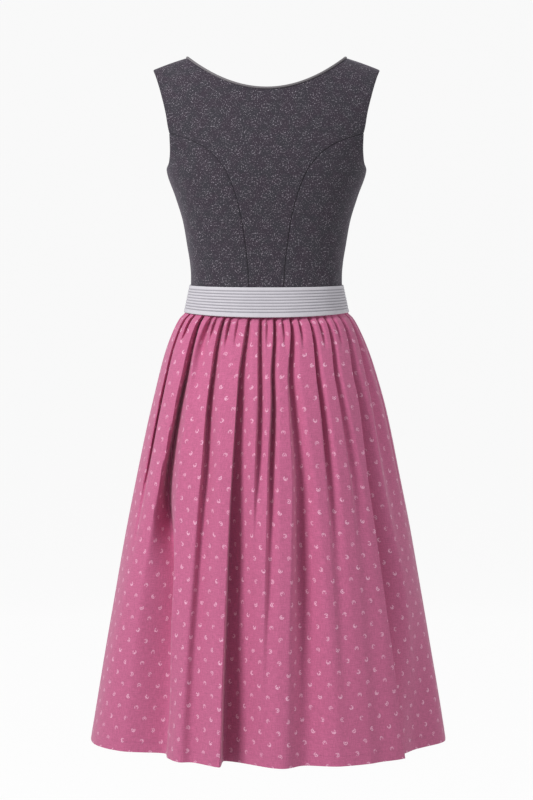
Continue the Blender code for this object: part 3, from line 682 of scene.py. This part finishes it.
SEAM_STEPS, ARMHOLE_STEPS, NECK_STEPS, SHOULDER_STEPS = 9, 5, 14, 4      # shares of each panel's edges
panel_up = SEAM_STEPS + ARMHOLE_STEPS
back_side_edge = joined((SEAM_STEPS / panel_up, from_waist(up_seam(BACK_SEAM))),
                        (ARMHOLE_STEPS / panel_up, up_seam(BACK_ARMHOLE)))
back_across = NECK_STEPS + 2 * SHOULDER_STEPS
back_top = joined((SHOULDER_STEPS / back_across, mirrored(shoulder_seam(False))),
                  (NECK_STEPS / back_across / 2, mirrored(backwards(neckline(False)))),
                  (NECK_STEPS / back_across / 2, neckline(False)),
                  (SHOULDER_STEPS / back_across, backwards(shoulder_seam(False))))
back_waist_end = back_side_edge(np.array([0.0]))[0, 0]
places = patch(along_waist(-back_waist_end, back_waist_end), back_top, mirrored(back_side_edge), back_side_edge,
               steps(back_across * 6), steps(panel_up * 9), SEAM_STEPS / panel_up)
bodice_panel("back_centre_panel", "bodice_back_centre", places, 0.0, ("left", "right", "top"), (), 3)


# ---- Side panels ----
# Four shaped pieces of the same cotton under the arms, two behind and two in front, sewn to each other at the side
# seams and to the centre panels along the curved seams. Their top edges are the bottom of the armholes, turned in.

BACK_UNDERARM = table(
    EdgePoint,
    (0.1490, 0.1182),
    (0.1483, 0.1300),
    (0.1482, 0.1430),
    (0.1494, 0.1558),
    (0.1517, 0.1657),
    (0.1544, 0.1732),
)
FRONT_SEAM = table(
    EdgePoint,
    (0.0485, BAND_TOP_DROP),
    (0.0505, 0.3266),
    (0.0560, 0.2967),
    (0.0680, 0.2520),
    (0.0785, 0.2123),
    (0.0860, 0.1826),
    (0.0980, 0.1578),
    (0.1130, 0.1400),
    (0.1290, 0.1272),
    (0.1435, 0.1183),
)
FRONT_UNDERARM = table(
    EdgePoint,
    (0.1435, 0.1183),
    (0.1432, 0.1331),
    (0.1455, 0.1479),
    (0.1500, 0.1618),
    (0.1544, 0.1732),
)
SIDE_SEAM_TOP = 0.1732
side_seam_root = math.sqrt(SIDE_SEAM_TOP - shoulder_fall(float(half_width(SIDE_SEAM_TOP)), SIDE_SEAM_TOP))
side_seam = from_waist(line([(90, math.sqrt(BAND_TOP_DROP)), (90, side_seam_root)]))

for part, seam, underarm, middle in (("back", BACK_SEAM, BACK_UNDERARM, 0.0),
                                     ("front", FRONT_SEAM, FRONT_UNDERARM, 180.0)):
    at_front = part == "front"
    curved = from_waist(up_seam(seam, at_front))
    top = [place(row.across, row.drop, at_front) for row in underarm[:-1]] + [(90, side_seam_root)]
    places = patch(along_waist(curved(np.array([0.0]))[0, 0], 90), smooth_line(top), curved, side_seam,
                   steps(60), steps(100))
    for side, turn in (("right", 1), ("left", -1)):
        own = places * (turn, 1)
        if at_front == (side == "right"):
            own = own[:, ::-1]
        bodice_panel(f"{part}_side_panel_{side}", f"bodice_{part}_side_{side}", own, middle * turn,
                     ("left", "right"), ("top",), 11 + turn + 5 * at_front)


# ---- Front panels ----
# Two pieces of the same cotton from the curved front seams to the centre front, where the dress opens with hidden
# hooks, so the two edges only meet. They carry the scooped neckline up to the shoulder seams.

FRONT_ARMHOLE = table(
    EdgePoint,
    (0.1435, 0.1183),
    (0.1470, 0.0873),
    (0.1560, 0.0597),
    (0.1675, 0.0321),
    (SHOULDER_TIP_X, SHOULDER_TIP_DROP),
)
FRONT_NECK_STEPS = 8
front_side_edge = joined((SEAM_STEPS / panel_up, from_waist(up_seam(FRONT_SEAM, True))),
                         (ARMHOLE_STEPS / panel_up, up_seam(FRONT_ARMHOLE, True)))
front_neck = neckline(True)
middle_foot = (180.0, math.sqrt(WAIST_SEAM_DROP + waist_dip(180.0)))
middle_top = (180.0, front_neck(np.array([0.0]))[0, 1])
front_middle = joined((1 - FRONT_NECK_STEPS / panel_up, line([middle_foot, middle_top])),
                      (FRONT_NECK_STEPS / panel_up, front_neck))
places = patch(along_waist(front_side_edge(np.array([0.0]))[0, 0], 180), shoulder_seam(True), front_side_edge,
               front_middle, steps(84), steps(panel_up * 10), SEAM_STEPS / panel_up)
for side, turn in (("right", 1), ("left", -1)):
    own = places if turn > 0 else (places * (-1, 1) + (360, 0))[:, ::-1]
    bodice_panel(f"front_panel_{side}", f"bodice_front_{side}", own, 180.0, ("left", "right", "top"), (), 21 + turn)


# ---- Neck binding ----
# A narrow bias strip of dull satin, folded over the neck edge and sewn down in the ditch below it, from the centre
# front round the back and to the centre front again.

BINDING_PROUD = 0.7 * MM
BINDING_CLOTH = 0.35 * MM
BINDING_GREY, BINDING_PALE = (0.13, 0.12, 0.13, 1.0), (0.19, 0.175, 0.185, 1.0)
FRONT_NECK_POINTS, BACK_NECK_POINTS = 150, 90    # on each side


def dull_satin():
    recipe = Recipe("binding_satin")
    cloth = recipe.node("UVMap", uv_map="Cloth").outputs[0]
    thread = recipe.noise(recipe.stretched(cloth, 1.0, 5.0), 700.0, 2.0)
    shade = recipe.blend(recipe.between(thread, 0.3, 0.7), BINDING_GREY, BINDING_PALE)
    return recipe.finish(shade, thread, 0.12 * MM, 0.55, 0.15, (0.8, 0.78, 0.8))


along_front, along_back = np.linspace(0, 1, FRONT_NECK_POINTS), np.linspace(0, 1, BACK_NECK_POINTS)
spots = np.concatenate((mirrored(neckline(True))(along_front[:-1]),
                        mirrored(backwards(neckline(False)))(along_back[:-1]),
                        neckline(False)(along_back[:-1]),
                        backwards(neckline(True))(along_front)))
seam_line = wall(spots)
tangent = np.gradient(seam_line, axis=0)
tangent[0] = tangent[-1] = (1.0, 0.0, 0.0)
tangent = unit(tangent)
round_step, down_step = np.array((0.25, 0.0)), np.array((0.0, 0.002))
sideways = wall(spots + round_step) - wall(spots - round_step)
downwards = wall(spots + down_step) - wall(np.maximum(spots - down_step, (-999, 0.0)))
normal = -unit(np.cross(downwards, sideways))
rise = np.cross(normal, tangent)
turn = np.linspace(0, math.pi, 15)
half_thick = BODICE_CLOTH / 2 + BINDING_PROUD
profile_up = np.concatenate(([SEAM_GAP / 2], BINDING_HEIGHT - half_thick * (1 - np.sin(turn)), [SEAM_GAP / 2]))
profile_out = np.concatenate(([half_thick * 0.9], half_thick * np.cos(turn), [-half_thick * 0.9])) - BODICE_CLOTH / 2
points = (seam_line[None] + rise[None] * profile_up[:, None, None] + normal[None] * profile_out[:, None, None])
length = run(sizes(np.diff(seam_line, axis=0)))
over = run(np.hypot(np.diff(profile_up), np.diff(profile_out)))
pattern = np.stack(np.broadcast_arrays(length[None], over[:, None]), axis=-1)
binding = cloth_shell("neck_binding_strip", points, pattern, BINDING_CLOTH, dull_satin(), "binding_satin")
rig.sheet(binding, **cut_size(pattern), held="stretched", rests_on=["back_centre_panel"])
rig.replaces(binding, "neck_binding")


# ---- Belt band ----
# A stiffened grey band round the waist, stitched in eight rows that draw it into soft ribs. It covers the waist
# seam and the top of the gathers, and its ends meet at the centre front over hidden hooks.

BAND_THICK, BAND_CLOTH = 2.2 * MM, 1.1 * MM       # over its stiffening, and of the face alone
GROOVES, FIRST_GROOVE, GROOVE_PITCH = 8, 0.134, 0.1007       # as shares of the band's height
GROOVE_DEPTH, GROOVE_HALF_WIDTH = 1.0 * MM, 0.017
EDGE_ROUND, EDGE_ROUND_SHARE = 0.6, 0.018        # of a groove's depth, and of the band's height
BAND_RIPPLE = 0.25 * MM
# The band's own light grey, and the dark grey of the painted shade in its grooves.
BAND_LIGHT, BAND_GROOVE_PAINTED_SHADE = (0.58, 0.56, 0.60, 1.0), (0.16, 0.15, 0.18, 1.0)
BAND_WEFT, BAND_PALE = (0.44, 0.42, 0.47, 1.0), (0.72, 0.70, 0.74, 1.0)


def ribbed_band():
    recipe = Recipe("band_grosgrain")
    cloth = recipe.node("UVMap", uv_map="Cloth").outputs[0]
    weave = recipe.noise(recipe.stretched(cloth, 6.0, 1.0), 260.0, 2.0)
    patchy = recipe.noise(cloth, 60.0, 2.0)
    colour = recipe.blend(recipe.between(weave, 0.3, 0.7, 0.0, 0.35), BAND_LIGHT, BAND_WEFT)
    colour = recipe.blend(recipe.between(patchy, 0.35, 0.65, 0.0, 0.12), colour, BAND_PALE)
    groove = recipe.node("Attribute", attribute_name="edge").outputs["Fac"]
    # Painted shade: the grooves between the ribs are darkened towards dark grey, where shade falls in them.
    colour = recipe.blend(recipe.times(groove, 0.75), colour, BAND_GROOVE_PAINTED_SHADE)
    return recipe.finish(colour, weave, 0.15 * MM, 0.6, 0.2, (0.9, 0.9, 0.95))


grooves = FIRST_GROOVE + GROOVE_PITCH * np.arange(GROOVES)
band_rows = np.linspace(1, 0, 101)
band_columns = np.linspace(-180, 180, 281)
dip = np.cos(np.radians(band_columns)) ** 2
top_drop, foot_drop = BAND_TOP_DROP + BAND_TOP_DIP * dip, BAND_FOOT_DROP + BAND_FOOT_DIP * dip
drops = mix(top_drop[None], foot_drop[None], band_rows[:, None])
top_edge, foot_edge = (wall(np.stack((band_columns, np.sqrt(edge)), axis=-1)) for edge in (top_drop, foot_drop))
under = mix(top_edge[None], foot_edge[None], band_rows[:, None, None])
normal = outward(under)
sunk = np.exp(-((band_rows[:, None] - grooves) / GROOVE_HALF_WIDTH) ** 2).sum(axis=1)
rounded = (EDGE_ROUND * np.exp(-band_rows / EDGE_ROUND_SHARE)
           + EDGE_ROUND * np.exp(-(1 - band_rows) / EDGE_ROUND_SHARE))
height = SEAM_GAP + BAND_THICK - GROOVE_DEPTH * (sunk + rounded)
points = under + normal * (height[:, None] + BAND_RIPPLE * ripples(under, 5, 0.05, 0.3))[..., None]
points[:, 0, 0] += SEAM_GAP / 2
points[:, -1, 0] -= SEAM_GAP / 2
lengths = run(sizes(np.diff(under[len(band_rows) // 2], axis=0)))
pattern = np.stack(np.broadcast_arrays(lengths[None], -drops), axis=-1)
# The grooves' depth goes to the material, which darkens them with painted shade.
band = cloth_shell("belt_band", points, pattern, BAND_CLOTH, ribbed_band(), "band_grosgrain",
                   np.broadcast_to(sunk[:, None], drops.shape).copy())


def stitch_row(name, line_points, line_normals, length, width, lift, material):
    """A row of sewn stitches along a line on the cloth, each a small lozenge of thread, as one mesh."""
    distance = run(sizes(np.diff(line_points, axis=0)))
    middles = np.arange(length, distance[-1] - length, length)
    at, normal, ahead = (np.stack([np.interp(middles + step, distance, source[:, k]) for k in range(3)], -1)
                         for source, step in ((line_points, 0), (line_normals, 0), (line_points, length / 4)))
    forward = unit(ahead - at)
    side = np.cross(normal, forward)
    middle = at + normal * lift
    half, thick = forward * length * 0.40, width / 2
    corners = np.stack((middle - half, middle + half, middle + side * thick, middle - side * thick,
                        middle + normal * thick, middle - normal * thick), axis=1)
    faces = np.array(((0, 4, 2), (0, 2, 5), (0, 5, 3), (0, 3, 4), (1, 2, 4), (1, 5, 2), (1, 3, 5), (1, 4, 3)))
    every = (np.arange(len(middles))[:, None, None] * 6 + faces[None]).reshape(-1, 3)
    mesh = bpy.data.meshes.new(name)
    mesh.from_pydata(corners.reshape(-1, 3).tolist(), [], every[:, ::-1].tolist())
    mesh.materials.append(material)
    mesh.shade_smooth()
    row = bpy.data.objects.new(name, mesh)
    bpy.context.scene.collection.objects.link(row)
    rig.ride(row, "root")
    return row


def thread(name, colour):
    recipe = Recipe(name)
    twist = recipe.noise(recipe.node("TexCoord").outputs["Object"], 2500.0, 1.0)
    darker = tuple(0.6 * channel for channel in colour[:3]) + (1.0,)
    shade = recipe.blend(recipe.between(twist, 0.3, 0.7, 0.0, 0.4), colour, darker)
    return recipe.finish(shade, twist, 0.05 * MM, 0.5, 0.1, (1.0, 1.0, 1.0))


BAND_STITCH = {"length": 2.6 * MM, "width": 0.5 * MM, "lift": 0.05 * MM}
band_thread = thread("band_thread", (0.50, 0.49, 0.53, 1.0))
band_stitches = []
for number, groove in enumerate(grooves):
    row = int(round((1 - groove) * (len(band_rows) - 1)))
    stitches = stitch_row(f"band_stitching_{number + 1}", points[row], normal[row], material=band_thread,
                          **BAND_STITCH)
    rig.slot(stitches, "band_grosgrain")
    band_stitches.append(stitches)
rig.sheet(band, **cut_size(pattern), held="stretched", rests_on=["back_centre_panel"], with_pieces=band_stitches)
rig.replaces(band, "waistband")


# ---- Skirt ----
# Two wide panels of dusty pink cotton, printed with small pale sprigs that each turn their own way, gathered into
# the waist seam and sewn together at the sides. The hem is turned up and stitched.

SKIRT_CLOTH = 0.9 * MM
SKIRT_LENGTH = HEM_DROP - BAND_FOOT_DROP
SKIRT_LEAN = 3 * MM                              # of the hem towards the wearer's right
FOLD_LEAN, LEAN_ENDS = 1.8, 0.43                 # as a share of a fold's depth, and below the band
SKIRT_RIPPLE, SKIRT_SPARE = 0.9 * MM, 1.02
# Each row is one valley between two gathers: its bearings at the band, at the distances in TURNS below it and at the
# hem, its depth in mm at the collar, hip, knee and hem, and how wide its two flanks are at the hem in mm. A valley
# with no depth at the hip has smoothed out soon below the band.
Gather = namedtuple("Gather", "bearing high_bearing low_bearing hem_bearing collar hip knee hem left right")
TURNS = (0.100, 0.260)
COLLAR = 0.030                                   # below the band, where a valley has its collar's depth
SHORT_COLLAR, SHORT_REACH = 0.008, 0.055          # the same, and the end, of a valley that smooths out soon
COLLAR_LEFT, COLLAR_RIGHT = 3.0, 5.5             # mm, the flanks of every valley at the band
GATHER_START, GATHER_RISE = -0.006, 0.012        # between which the gathers open out under the band
BACK_GATHERS = table(
    Gather,
    (-82, -81, -80, -79, 4, 0, 0, 0, 9, 12),
    (-70, -68, -67, -66, 9, 6, 0, 0, 12, 14),
    (-61, -59, -58, -57, 8, 0, 0, 0, 8, 8),
    (-50, -47.5, -47, -48, 14, 23, 36, 24, 60, 44),
    (-41, -38.5, -40, -44, 10, 4, 12, 37, 160, 130),
    (-36, -34, -33, -32, 7, 0, 0, 0, 8, 8),
    (-30, -29, -26.5, -22.5, 13, 18, 15, 18, 30, 44),
    (-25, -23, -21.5, -19.5, 10, 0, 0, 0, 8, 10),
    (-19, -18, -17.5, -17, 6, 0, 0, 0, 8, 8),
    (-12, -14, -14, -12.3, 15, 22, 38, 50, 14, 78),
    (-4, -4, -4.5, -5, 14, 15, 2, 0, 10, 30),
    (0.5, 0, -1.5, -2.5, 6, 0, 0, 0, 6, 6),
    (5.5, 2.5, 1, -1, 15, 20, 8, 0, 10, 22),
    (11, 10, 9, 8, 8, 0, 0, 0, 8, 8),
    (17, 12.5, 14.2, 12, 16, 18, 28, 20, 34, 52),
    (22.5, 20, 20, 18, 9, 0, 0, 0, 8, 8),
    (30.5, 27.5, 27.5, 26, 17, 16, 4, 0, 16, 28),
    (37, 34, 33.5, 32, 10, 0, 0, 0, 8, 8),
    (44, 39, 40, 38, 15, 10, 2, 3, 24, 34),
    (51, 45, 44.5, 44, 7, 0, 0, 0, 8, 8),
    (60, 52, 49, 49.3, 17, 24, 36, 24, 7, 90),
    (73, 67, 66, 66, 12, 10, 3, 24, 70, 80),
    (82, 80, 79, 78, 6, 4, 0, 0, 9, 9),
)
FRONT_GATHERS = table(
    Gather,
    (98, 99, 100, 101, 9, 8, 3, 0, 12, 16),
    (106, 109, 111, 112, 13, 20, 28, 36, 60, 10),
    (115, 116, 117.5, 119, 8, 0, 0, 0, 8, 8),
    (123, 124, 125, 126, 12, 10, 4, 0, 16, 16),
    (131, 131, 131.5, 132, 8, 0, 0, 0, 8, 8),
    (138, 137.5, 137, 137, 14, 22, 32, 38, 40, 24),
    (146, 146, 145.5, 145, 9, 4, 0, 0, 10, 10),
    (153, 152.5, 152, 152, 14, 17, 9, 5, 18, 26),
    (160, 160, 159.5, 159, 8, 0, 0, 0, 8, 8),
    (167, 166.5, 167, 166, 15, 20, 26, 28, 48, 14),
    (174, 174, 173.5, 173, 9, 4, 0, 0, 8, 8),
    (180, 180, 180, 180, 8, 9, 3, 0, 12, 12),
    (187, 187, 187, 187, 14, 18, 10, 5, 14, 26),
    (194, 194, 194, 194, 8, 0, 0, 0, 8, 8),
    (201, 202, 202.5, 203, 15, 22, 36, 46, 10, 58),
    (208, 209, 209.5, 210, 9, 3, 0, 0, 10, 10),
    (216, 216, 216.5, 217, 13, 14, 7, 3, 16, 22),
    (223, 223, 223.5, 224, 8, 0, 0, 0, 8, 8),
    (231, 232, 233, 234, 15, 20, 28, 32, 50, 14),
    (240, 240, 240.5, 241, 8, 0, 0, 0, 8, 8),
    (248, 248, 248.5, 249, 12, 13, 8, 6, 20, 26),
    (260, 260, 259.5, 259, 9, 8, 3, 0, 12, 16),
)
around_again = tuple(Gather(*(bearing - 360 for bearing in g[:4]), *g[4:])
                     for g in FRONT_GATHERS if g.bearing > 180)
ALL_GATHERS = around_again + BACK_GATHERS + FRONT_GATHERS


def gather_bearing(gather, below):
    high, low = TURNS
    bearing = mix(gather.bearing, gather.high_bearing, smooth_step(below / high))
    bearing = mix(bearing, gather.low_bearing, smooth_step((below - high) / (low - high)))
    return mix(bearing, gather.hem_bearing, np.clip((below - low) / (SKIRT_LENGTH - low), 0, 1))


def gather_depth(gather, below):
    collar, hip = (COLLAR, HIP) if gather.hip else (SHORT_COLLAR, SHORT_REACH)
    stations = ((collar, gather.collar), (hip, gather.hip), (KNEE, gather.knee), (SKIRT_LENGTH, gather.hem))
    depth = np.full(below.shape, float(gather.collar))
    for (one, shallow), (two, deep) in zip(stations, stations[1:]):
        depth = np.where(below > one, mix(shallow, deep, smooth_step((below - one) / (two - one))), depth)
    return depth * smooth_step((below - GATHER_START) / (GATHER_RISE - GATHER_START)) * MM


def flanks(gather, below):
    """How far a valley reaches to its left and to its right, in degrees, a distance below the band."""
    drop = BAND_FOOT_DROP + below
    mean_radius = (2 * half_width(drop) + back_depth(drop) + front_depth(drop)) / 4
    spread = np.clip(below / SKIRT_LENGTH, 0, 1)
    return [np.degrees(mix(narrow, wide, spread) * MM / mean_radius)
            for narrow, wide in ((COLLAR_LEFT, gather.left), (COLLAR_RIGHT, gather.right))]


def skirt_fold(bearing, below):
    """How far the cloth lies in from the ridges, over a grid whose rows share their distance below the band."""
    fold = np.zeros(bearing.shape)
    for gather in ALL_GATHERS:
        left, right = flanks(gather, below)
        away = bearing - gather_bearing(gather, below)
        fold += gather_depth(gather, below) * smooth_step(1 - np.where(away < 0, -away / left, away / right))
    return fold


def fold_lean(bearing, below):
    """How far the valleys go in under the ridge on their left, as a share of their depth. They do so on the
    wearer's left, most at the hip. They stand straight at the side seams, and near them also low down."""
    turn = np.radians(bearing)
    sideways = np.maximum(-np.sin(turn), 0) * smooth_step(np.abs(np.cos(turn)) / 0.3)
    low_down = mix(1, smooth_step((LEAN_ENDS - below) / 0.2), smooth_step((-bearing - 25) / 15))
    return FOLD_LEAN * sideways * mix(0.6, 1, smooth_step(below / HIP)) * low_down


SPRIG_ACROSS, SPRIG_UP = 32 * MM, 17.3 * MM
SPRIG_SIZE = 2.7 * MM
PINK = (0.49, 0.112, 0.236, 1.0)
PINK_WARM = (0.55, 0.128, 0.262, 1.0)
SPRIG_PALE = (0.84, 0.46, 0.62, 1.0)
HEM_TURN = 15 * MM


def sprig_cotton():
    """Dusty pink cotton with a slubbed weave, and a lattice of small pale sprigs, each a broken ring of petals
    that is turned its own way."""
    recipe = Recipe("sprig_cotton")
    cloth = recipe.node("UVMap", uv_map="Cloth").outputs[0]
    offset, own, chance = recipe.lattice(cloth, SPRIG_ACROSS, SPRIG_UP)
    shares = recipe.node("SeparateColor", {0: own}).outputs
    turned = recipe.node("VectorRotate", {"Vector": offset, "Angle": recipe.times(shares[0], 6.28)},
                         rotation_type="Z_AXIS").outputs[0]
    split = recipe.node("SeparateXYZ", {0: turned}).outputs
    shift = recipe.plus(split[0], recipe.times(shares[1], 0.6 * MM))
    radius = recipe.hypot(shift, split[1])
    angle = recipe.sum("ARCTAN2", split[1], shift)
    ring = recipe.between(recipe.sum("ABSOLUTE", recipe.minus(radius, SPRIG_SIZE)), 0.95 * MM, 0.55 * MM)
    opening = recipe.between(recipe.sum("ABSOLUTE", angle), 0.55, 0.95)
    broken = recipe.between(recipe.noise(cloth, 650.0, 1.0), 0.36, 0.50)
    ring = recipe.times(recipe.times(ring, opening), broken)
    heart_x = recipe.plus(shift, recipe.times(recipe.minus(shares[2], 0.2), 2.4 * MM))
    heart = recipe.between(recipe.hypot(heart_x, split[1]), 1.5 * MM, 0.8 * MM)
    sprig = recipe.sum("MAXIMUM", ring, heart)
    strength = recipe.between(chance, 0.0, 1.0, 0.62, 0.95)
    slub_across = recipe.noise(recipe.stretched(cloth, 1.0, 9.0), 90.0, 3.0, 0.6)
    slub_down = recipe.noise(recipe.stretched(cloth, 9.0, 1.0), 90.0, 3.0, 0.6)
    fine = recipe.noise(cloth, 900.0, 2.0, 0.6)
    weave = recipe.plus(recipe.times(recipe.plus(slub_across, slub_down), 0.35), recipe.times(fine, 0.3))
    colour = recipe.blend(recipe.between(weave, 0.38, 0.62), PINK, PINK_WARM)
    depth = recipe.between(weave, 0.36, 0.64, 0.86, 1.10)
    colour = recipe.shaded(colour, depth)
    colour = recipe.blend(recipe.times(sprig, strength), colour, SPRIG_PALE)
    return recipe.finish(colour, weave, 0.3 * MM, 0.78, 0.35, (0.95, 0.75, 0.85))


skirt_cotton = sprig_cotton()
FLANK_STEPS, RIDGE_STEPS = 6, 4                  # columns of points on a valley's flank, and on the ridge between
MOST_FLANK = 0.42                                # of the way to the next valley
skirt_rows = np.concatenate((np.linspace(-2 * MM, 16 * MM, 15), 16 * MM + 44 * MM * np.linspace(0, 1, 19)[1:],
                             0.060 + (SKIRT_LENGTH - 0.060) * np.linspace(0, 1, 80)[1:]))[::-1, None]
skirt_stitching = []
HEM_STITCH = {"length": 3.2 * MM, "width": 0.45 * MM, "lift": 0.12 * MM}
hem_thread = thread("hem_thread", (0.46, 0.12, 0.26, 1.0))
for part, gathers, start, end in (("back", BACK_GATHERS, -90, 90), ("front", FRONT_GATHERS, 90, 270)):
    valleys = [gather_bearing(g, skirt_rows) for g in gathers]
    reach = [flanks(g, skirt_rows) for g in gathers]
    ends = [np.full_like(skirt_rows, start), np.full_like(skirt_rows, end)]
    marks = [ends[0]] + valleys + [ends[1]]
    lefts = [left for left, _ in reach] + [reach[-1][1]]
    rights = [reach[0][0]] + [right for _, right in reach]
    columns = []
    for one, two, right, left in zip(marks, marks[1:], rights, lefts):
        near, far = (np.minimum(flank / (two - one), MOST_FLANK) for flank in (right, left))
        shares = [near * i / FLANK_STEPS for i in range(FLANK_STEPS)]
        shares += [mix(near, 1 - far, i / RIDGE_STEPS) for i in range(RIDGE_STEPS)]
        shares += [1 - far * (1 - i / FLANK_STEPS) for i in range(FLANK_STEPS)]
        columns += [mix(one, two, share) for share in shares]
    bearing = np.concatenate(columns + [marks[-1]], axis=1)
    below = np.broadcast_to(skirt_rows, bearing.shape)
    places = np.stack((bearing, np.sqrt(BAND_FOOT_DROP + below)), axis=-1)
    points = wall(places)
    inward = -points * (1, 1, 0) / sizes(points[..., :2])[..., None]
    fold = skirt_fold(bearing, skirt_rows)
    along = np.stack((inward[..., 1], -inward[..., 0], inward[..., 2]), axis=-1)
    points = points + inward * fold[..., None] - along * (fold * fold_lean(bearing, skirt_rows))[..., None]
    settled = smooth_step(below / HIP)
    points[..., 0] -= SKIRT_LEAN * settled
    points[..., 2] -= BAND_FOOT_DIP * np.cos(np.radians(bearing)) ** 2 * (1 - settled)
    points += outward(points) * (SKIRT_RIPPLE * settled * ripples(points, 31, 0.10, 0.25))[..., None]
    # The cloth is as wide at the waist as at the hem, and what the ridges don't show of it lies in the valleys.
    widths = sizes(np.diff(points, axis=1))
    valley = (fold[:, 1:] + fold[:, :-1]) / 2
    spare = np.maximum(widths[0].sum() * SKIRT_SPARE - widths.sum(axis=1, keepdims=True), 0)
    cloth_width = widths + spare * valley * widths / (valley * widths + 1e-9).sum(axis=1, keepdims=True)
    round_cloth = np.concatenate((np.zeros_like(below[:, :1]), cloth_width.cumsum(axis=1)), axis=1)
    down_cloth = run(sizes(np.diff(wall(places[:, :1])[:, 0], axis=0)))[:, None]
    pattern = np.stack((round_cloth - round_cloth[:, -1:] / 2, np.broadcast_to(down_cloth, below.shape)), axis=-1)
    ease = np.zeros_like(points)
    ease[:, 0] = (0, -SEAM_GAP / 2 if part == "front" else SEAM_GAP / 2, 0)
    ease[:, -1] = ease[:, 0]
    skirt = cloth_shell(f"skirt_{part}_panel", points + ease, pattern, SKIRT_CLOTH, skirt_cotton, "skirt_cotton")
    hem_row = int(np.argmin(np.abs(down_cloth[:, 0] - HEM_TURN)))
    stitches = stitch_row(f"hem_stitching_{part}", points[hem_row], outward(points)[hem_row], material=hem_thread,
                          **HEM_STITCH)
    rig.slot(stitches, "skirt_cotton")
    width, length = float(round_cloth[0, -1]), float(down_cloth[-1, 0])
    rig.sheet(skirt, flat=(round(width, 2), round(length, 2)), held="gathered", rests_on=["belt_band"],
             with_pieces=[stitches])
    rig.replaces(skirt, f"skirt_{part}")


# ---- Studio ----
# A pale seamless floor that sweeps up behind, well below the hem, with soft light from the wearer's left.

FLOOR_DROP, FLOOR_SIZE, FLOOR_MIDDLE = 1.42, 14, 2.0
SWEEP_HEIGHT, SWEEP_RADIUS = 7, 1.5
PHOTO_HEIGHT, SENSOR = 800, 36
PIXEL = 1.556 * MM                               # of the photograph, where the dress's sides are
CAMERA_Y, CAMERA_Z, AIM_Z = 4.2, -0.2225, -0.5301

bpy.ops.mesh.primitive_plane_add(size=FLOOR_SIZE, location=(0, FLOOR_MIDDLE, -FLOOR_DROP))
floor = bpy.context.active_object
floor.name = "studio_floor"
bpy.ops.object.mode_set(mode="EDIT")
bpy.ops.mesh.select_all(action="DESELECT")
bpy.ops.object.mode_set(mode="OBJECT")
for edge in floor.data.edges:
    ends = [floor.data.vertices[v].co for v in edge.vertices]
    edge.select = all(co.y < 0 for co in ends)
for vertex in floor.data.vertices:
    vertex.select = vertex.co.y < 0
bpy.ops.object.mode_set(mode="EDIT")
bpy.ops.mesh.extrude_region_move(TRANSFORM_OT_translate={"value": (0, 0, SWEEP_HEIGHT)})
bpy.ops.object.mode_set(mode="OBJECT")
bpy.ops.object.transform_apply(location=True, rotation=True, scale=True)
sweep = floor.modifiers.new("Sweep", "BEVEL")
sweep.width, sweep.segments, sweep.limit_method = SWEEP_RADIUS, 12, "ANGLE"
bpy.ops.object.modifier_apply(modifier=sweep.name)
bpy.ops.object.shade_smooth()
paper = bpy.data.materials.new("studio_paper")
paper.use_nodes = True
paper_shader = paper.node_tree.nodes["Principled BSDF"]
paper_shader.inputs["Base Color"].default_value = (0.10, 0.10, 0.10, 1.0)
paper_shader.inputs["Roughness"].default_value = 0.9
paper_shader.inputs["Emission Color"].default_value = (1.0, 1.0, 1.0, 1.0)
paper_shader.inputs["Emission Strength"].default_value = 0.87
floor.data.materials.append(paper)
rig.stage(floor)
floor.visible_diffuse = False                    # the dress takes no glow from below
floor.select_set(False)


def soft_light(name, location, size, watts):
    bpy.ops.object.light_add(type="AREA", location=location)
    light = bpy.context.active_object
    light.name = name
    light.data.size, light.data.energy = size, watts
    light.rotation_euler = (Vector((0, 0, -0.5)) - Vector(location)).to_track_quat("-Z", "Y").to_euler()
    light.select_set(False)


soft_light("window", (2.2, 2.0, 1.4), 1.2, 108)
soft_light("fill", (-3.2, 1.5, 0.0), 2.0, 30)
world = bpy.data.worlds.new("studio_air")
bpy.context.scene.world = world
world.use_nodes = True
world.node_tree.nodes["Background"].inputs[0].default_value = (0.97, 0.97, 0.98, 1.0)
world.node_tree.nodes["Background"].inputs[1].default_value = 0.42

bpy.ops.object.camera_add(location=(0, CAMERA_Y, CAMERA_Z))
camera = bpy.context.active_object
sight = Vector((0, 0, AIM_Z)) - camera.location
camera.rotation_euler = sight.to_track_quat("-Z", "Y").to_euler()
camera.data.sensor_fit = "VERTICAL"
camera.data.sensor_height = SENSOR
camera.data.lens = SENSOR * sight.length / (PHOTO_HEIGHT * PIXEL)
camera.data.clip_end = 50
bpy.context.scene.camera = camera
bpy.context.scene.view_settings.view_transform = "Standard"

with open("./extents.json", "w") as sizes:
    json.dump({"cad": [list(corner) for corner in cad_box], "visual": [list(corner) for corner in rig.bounds()]}, sizes)
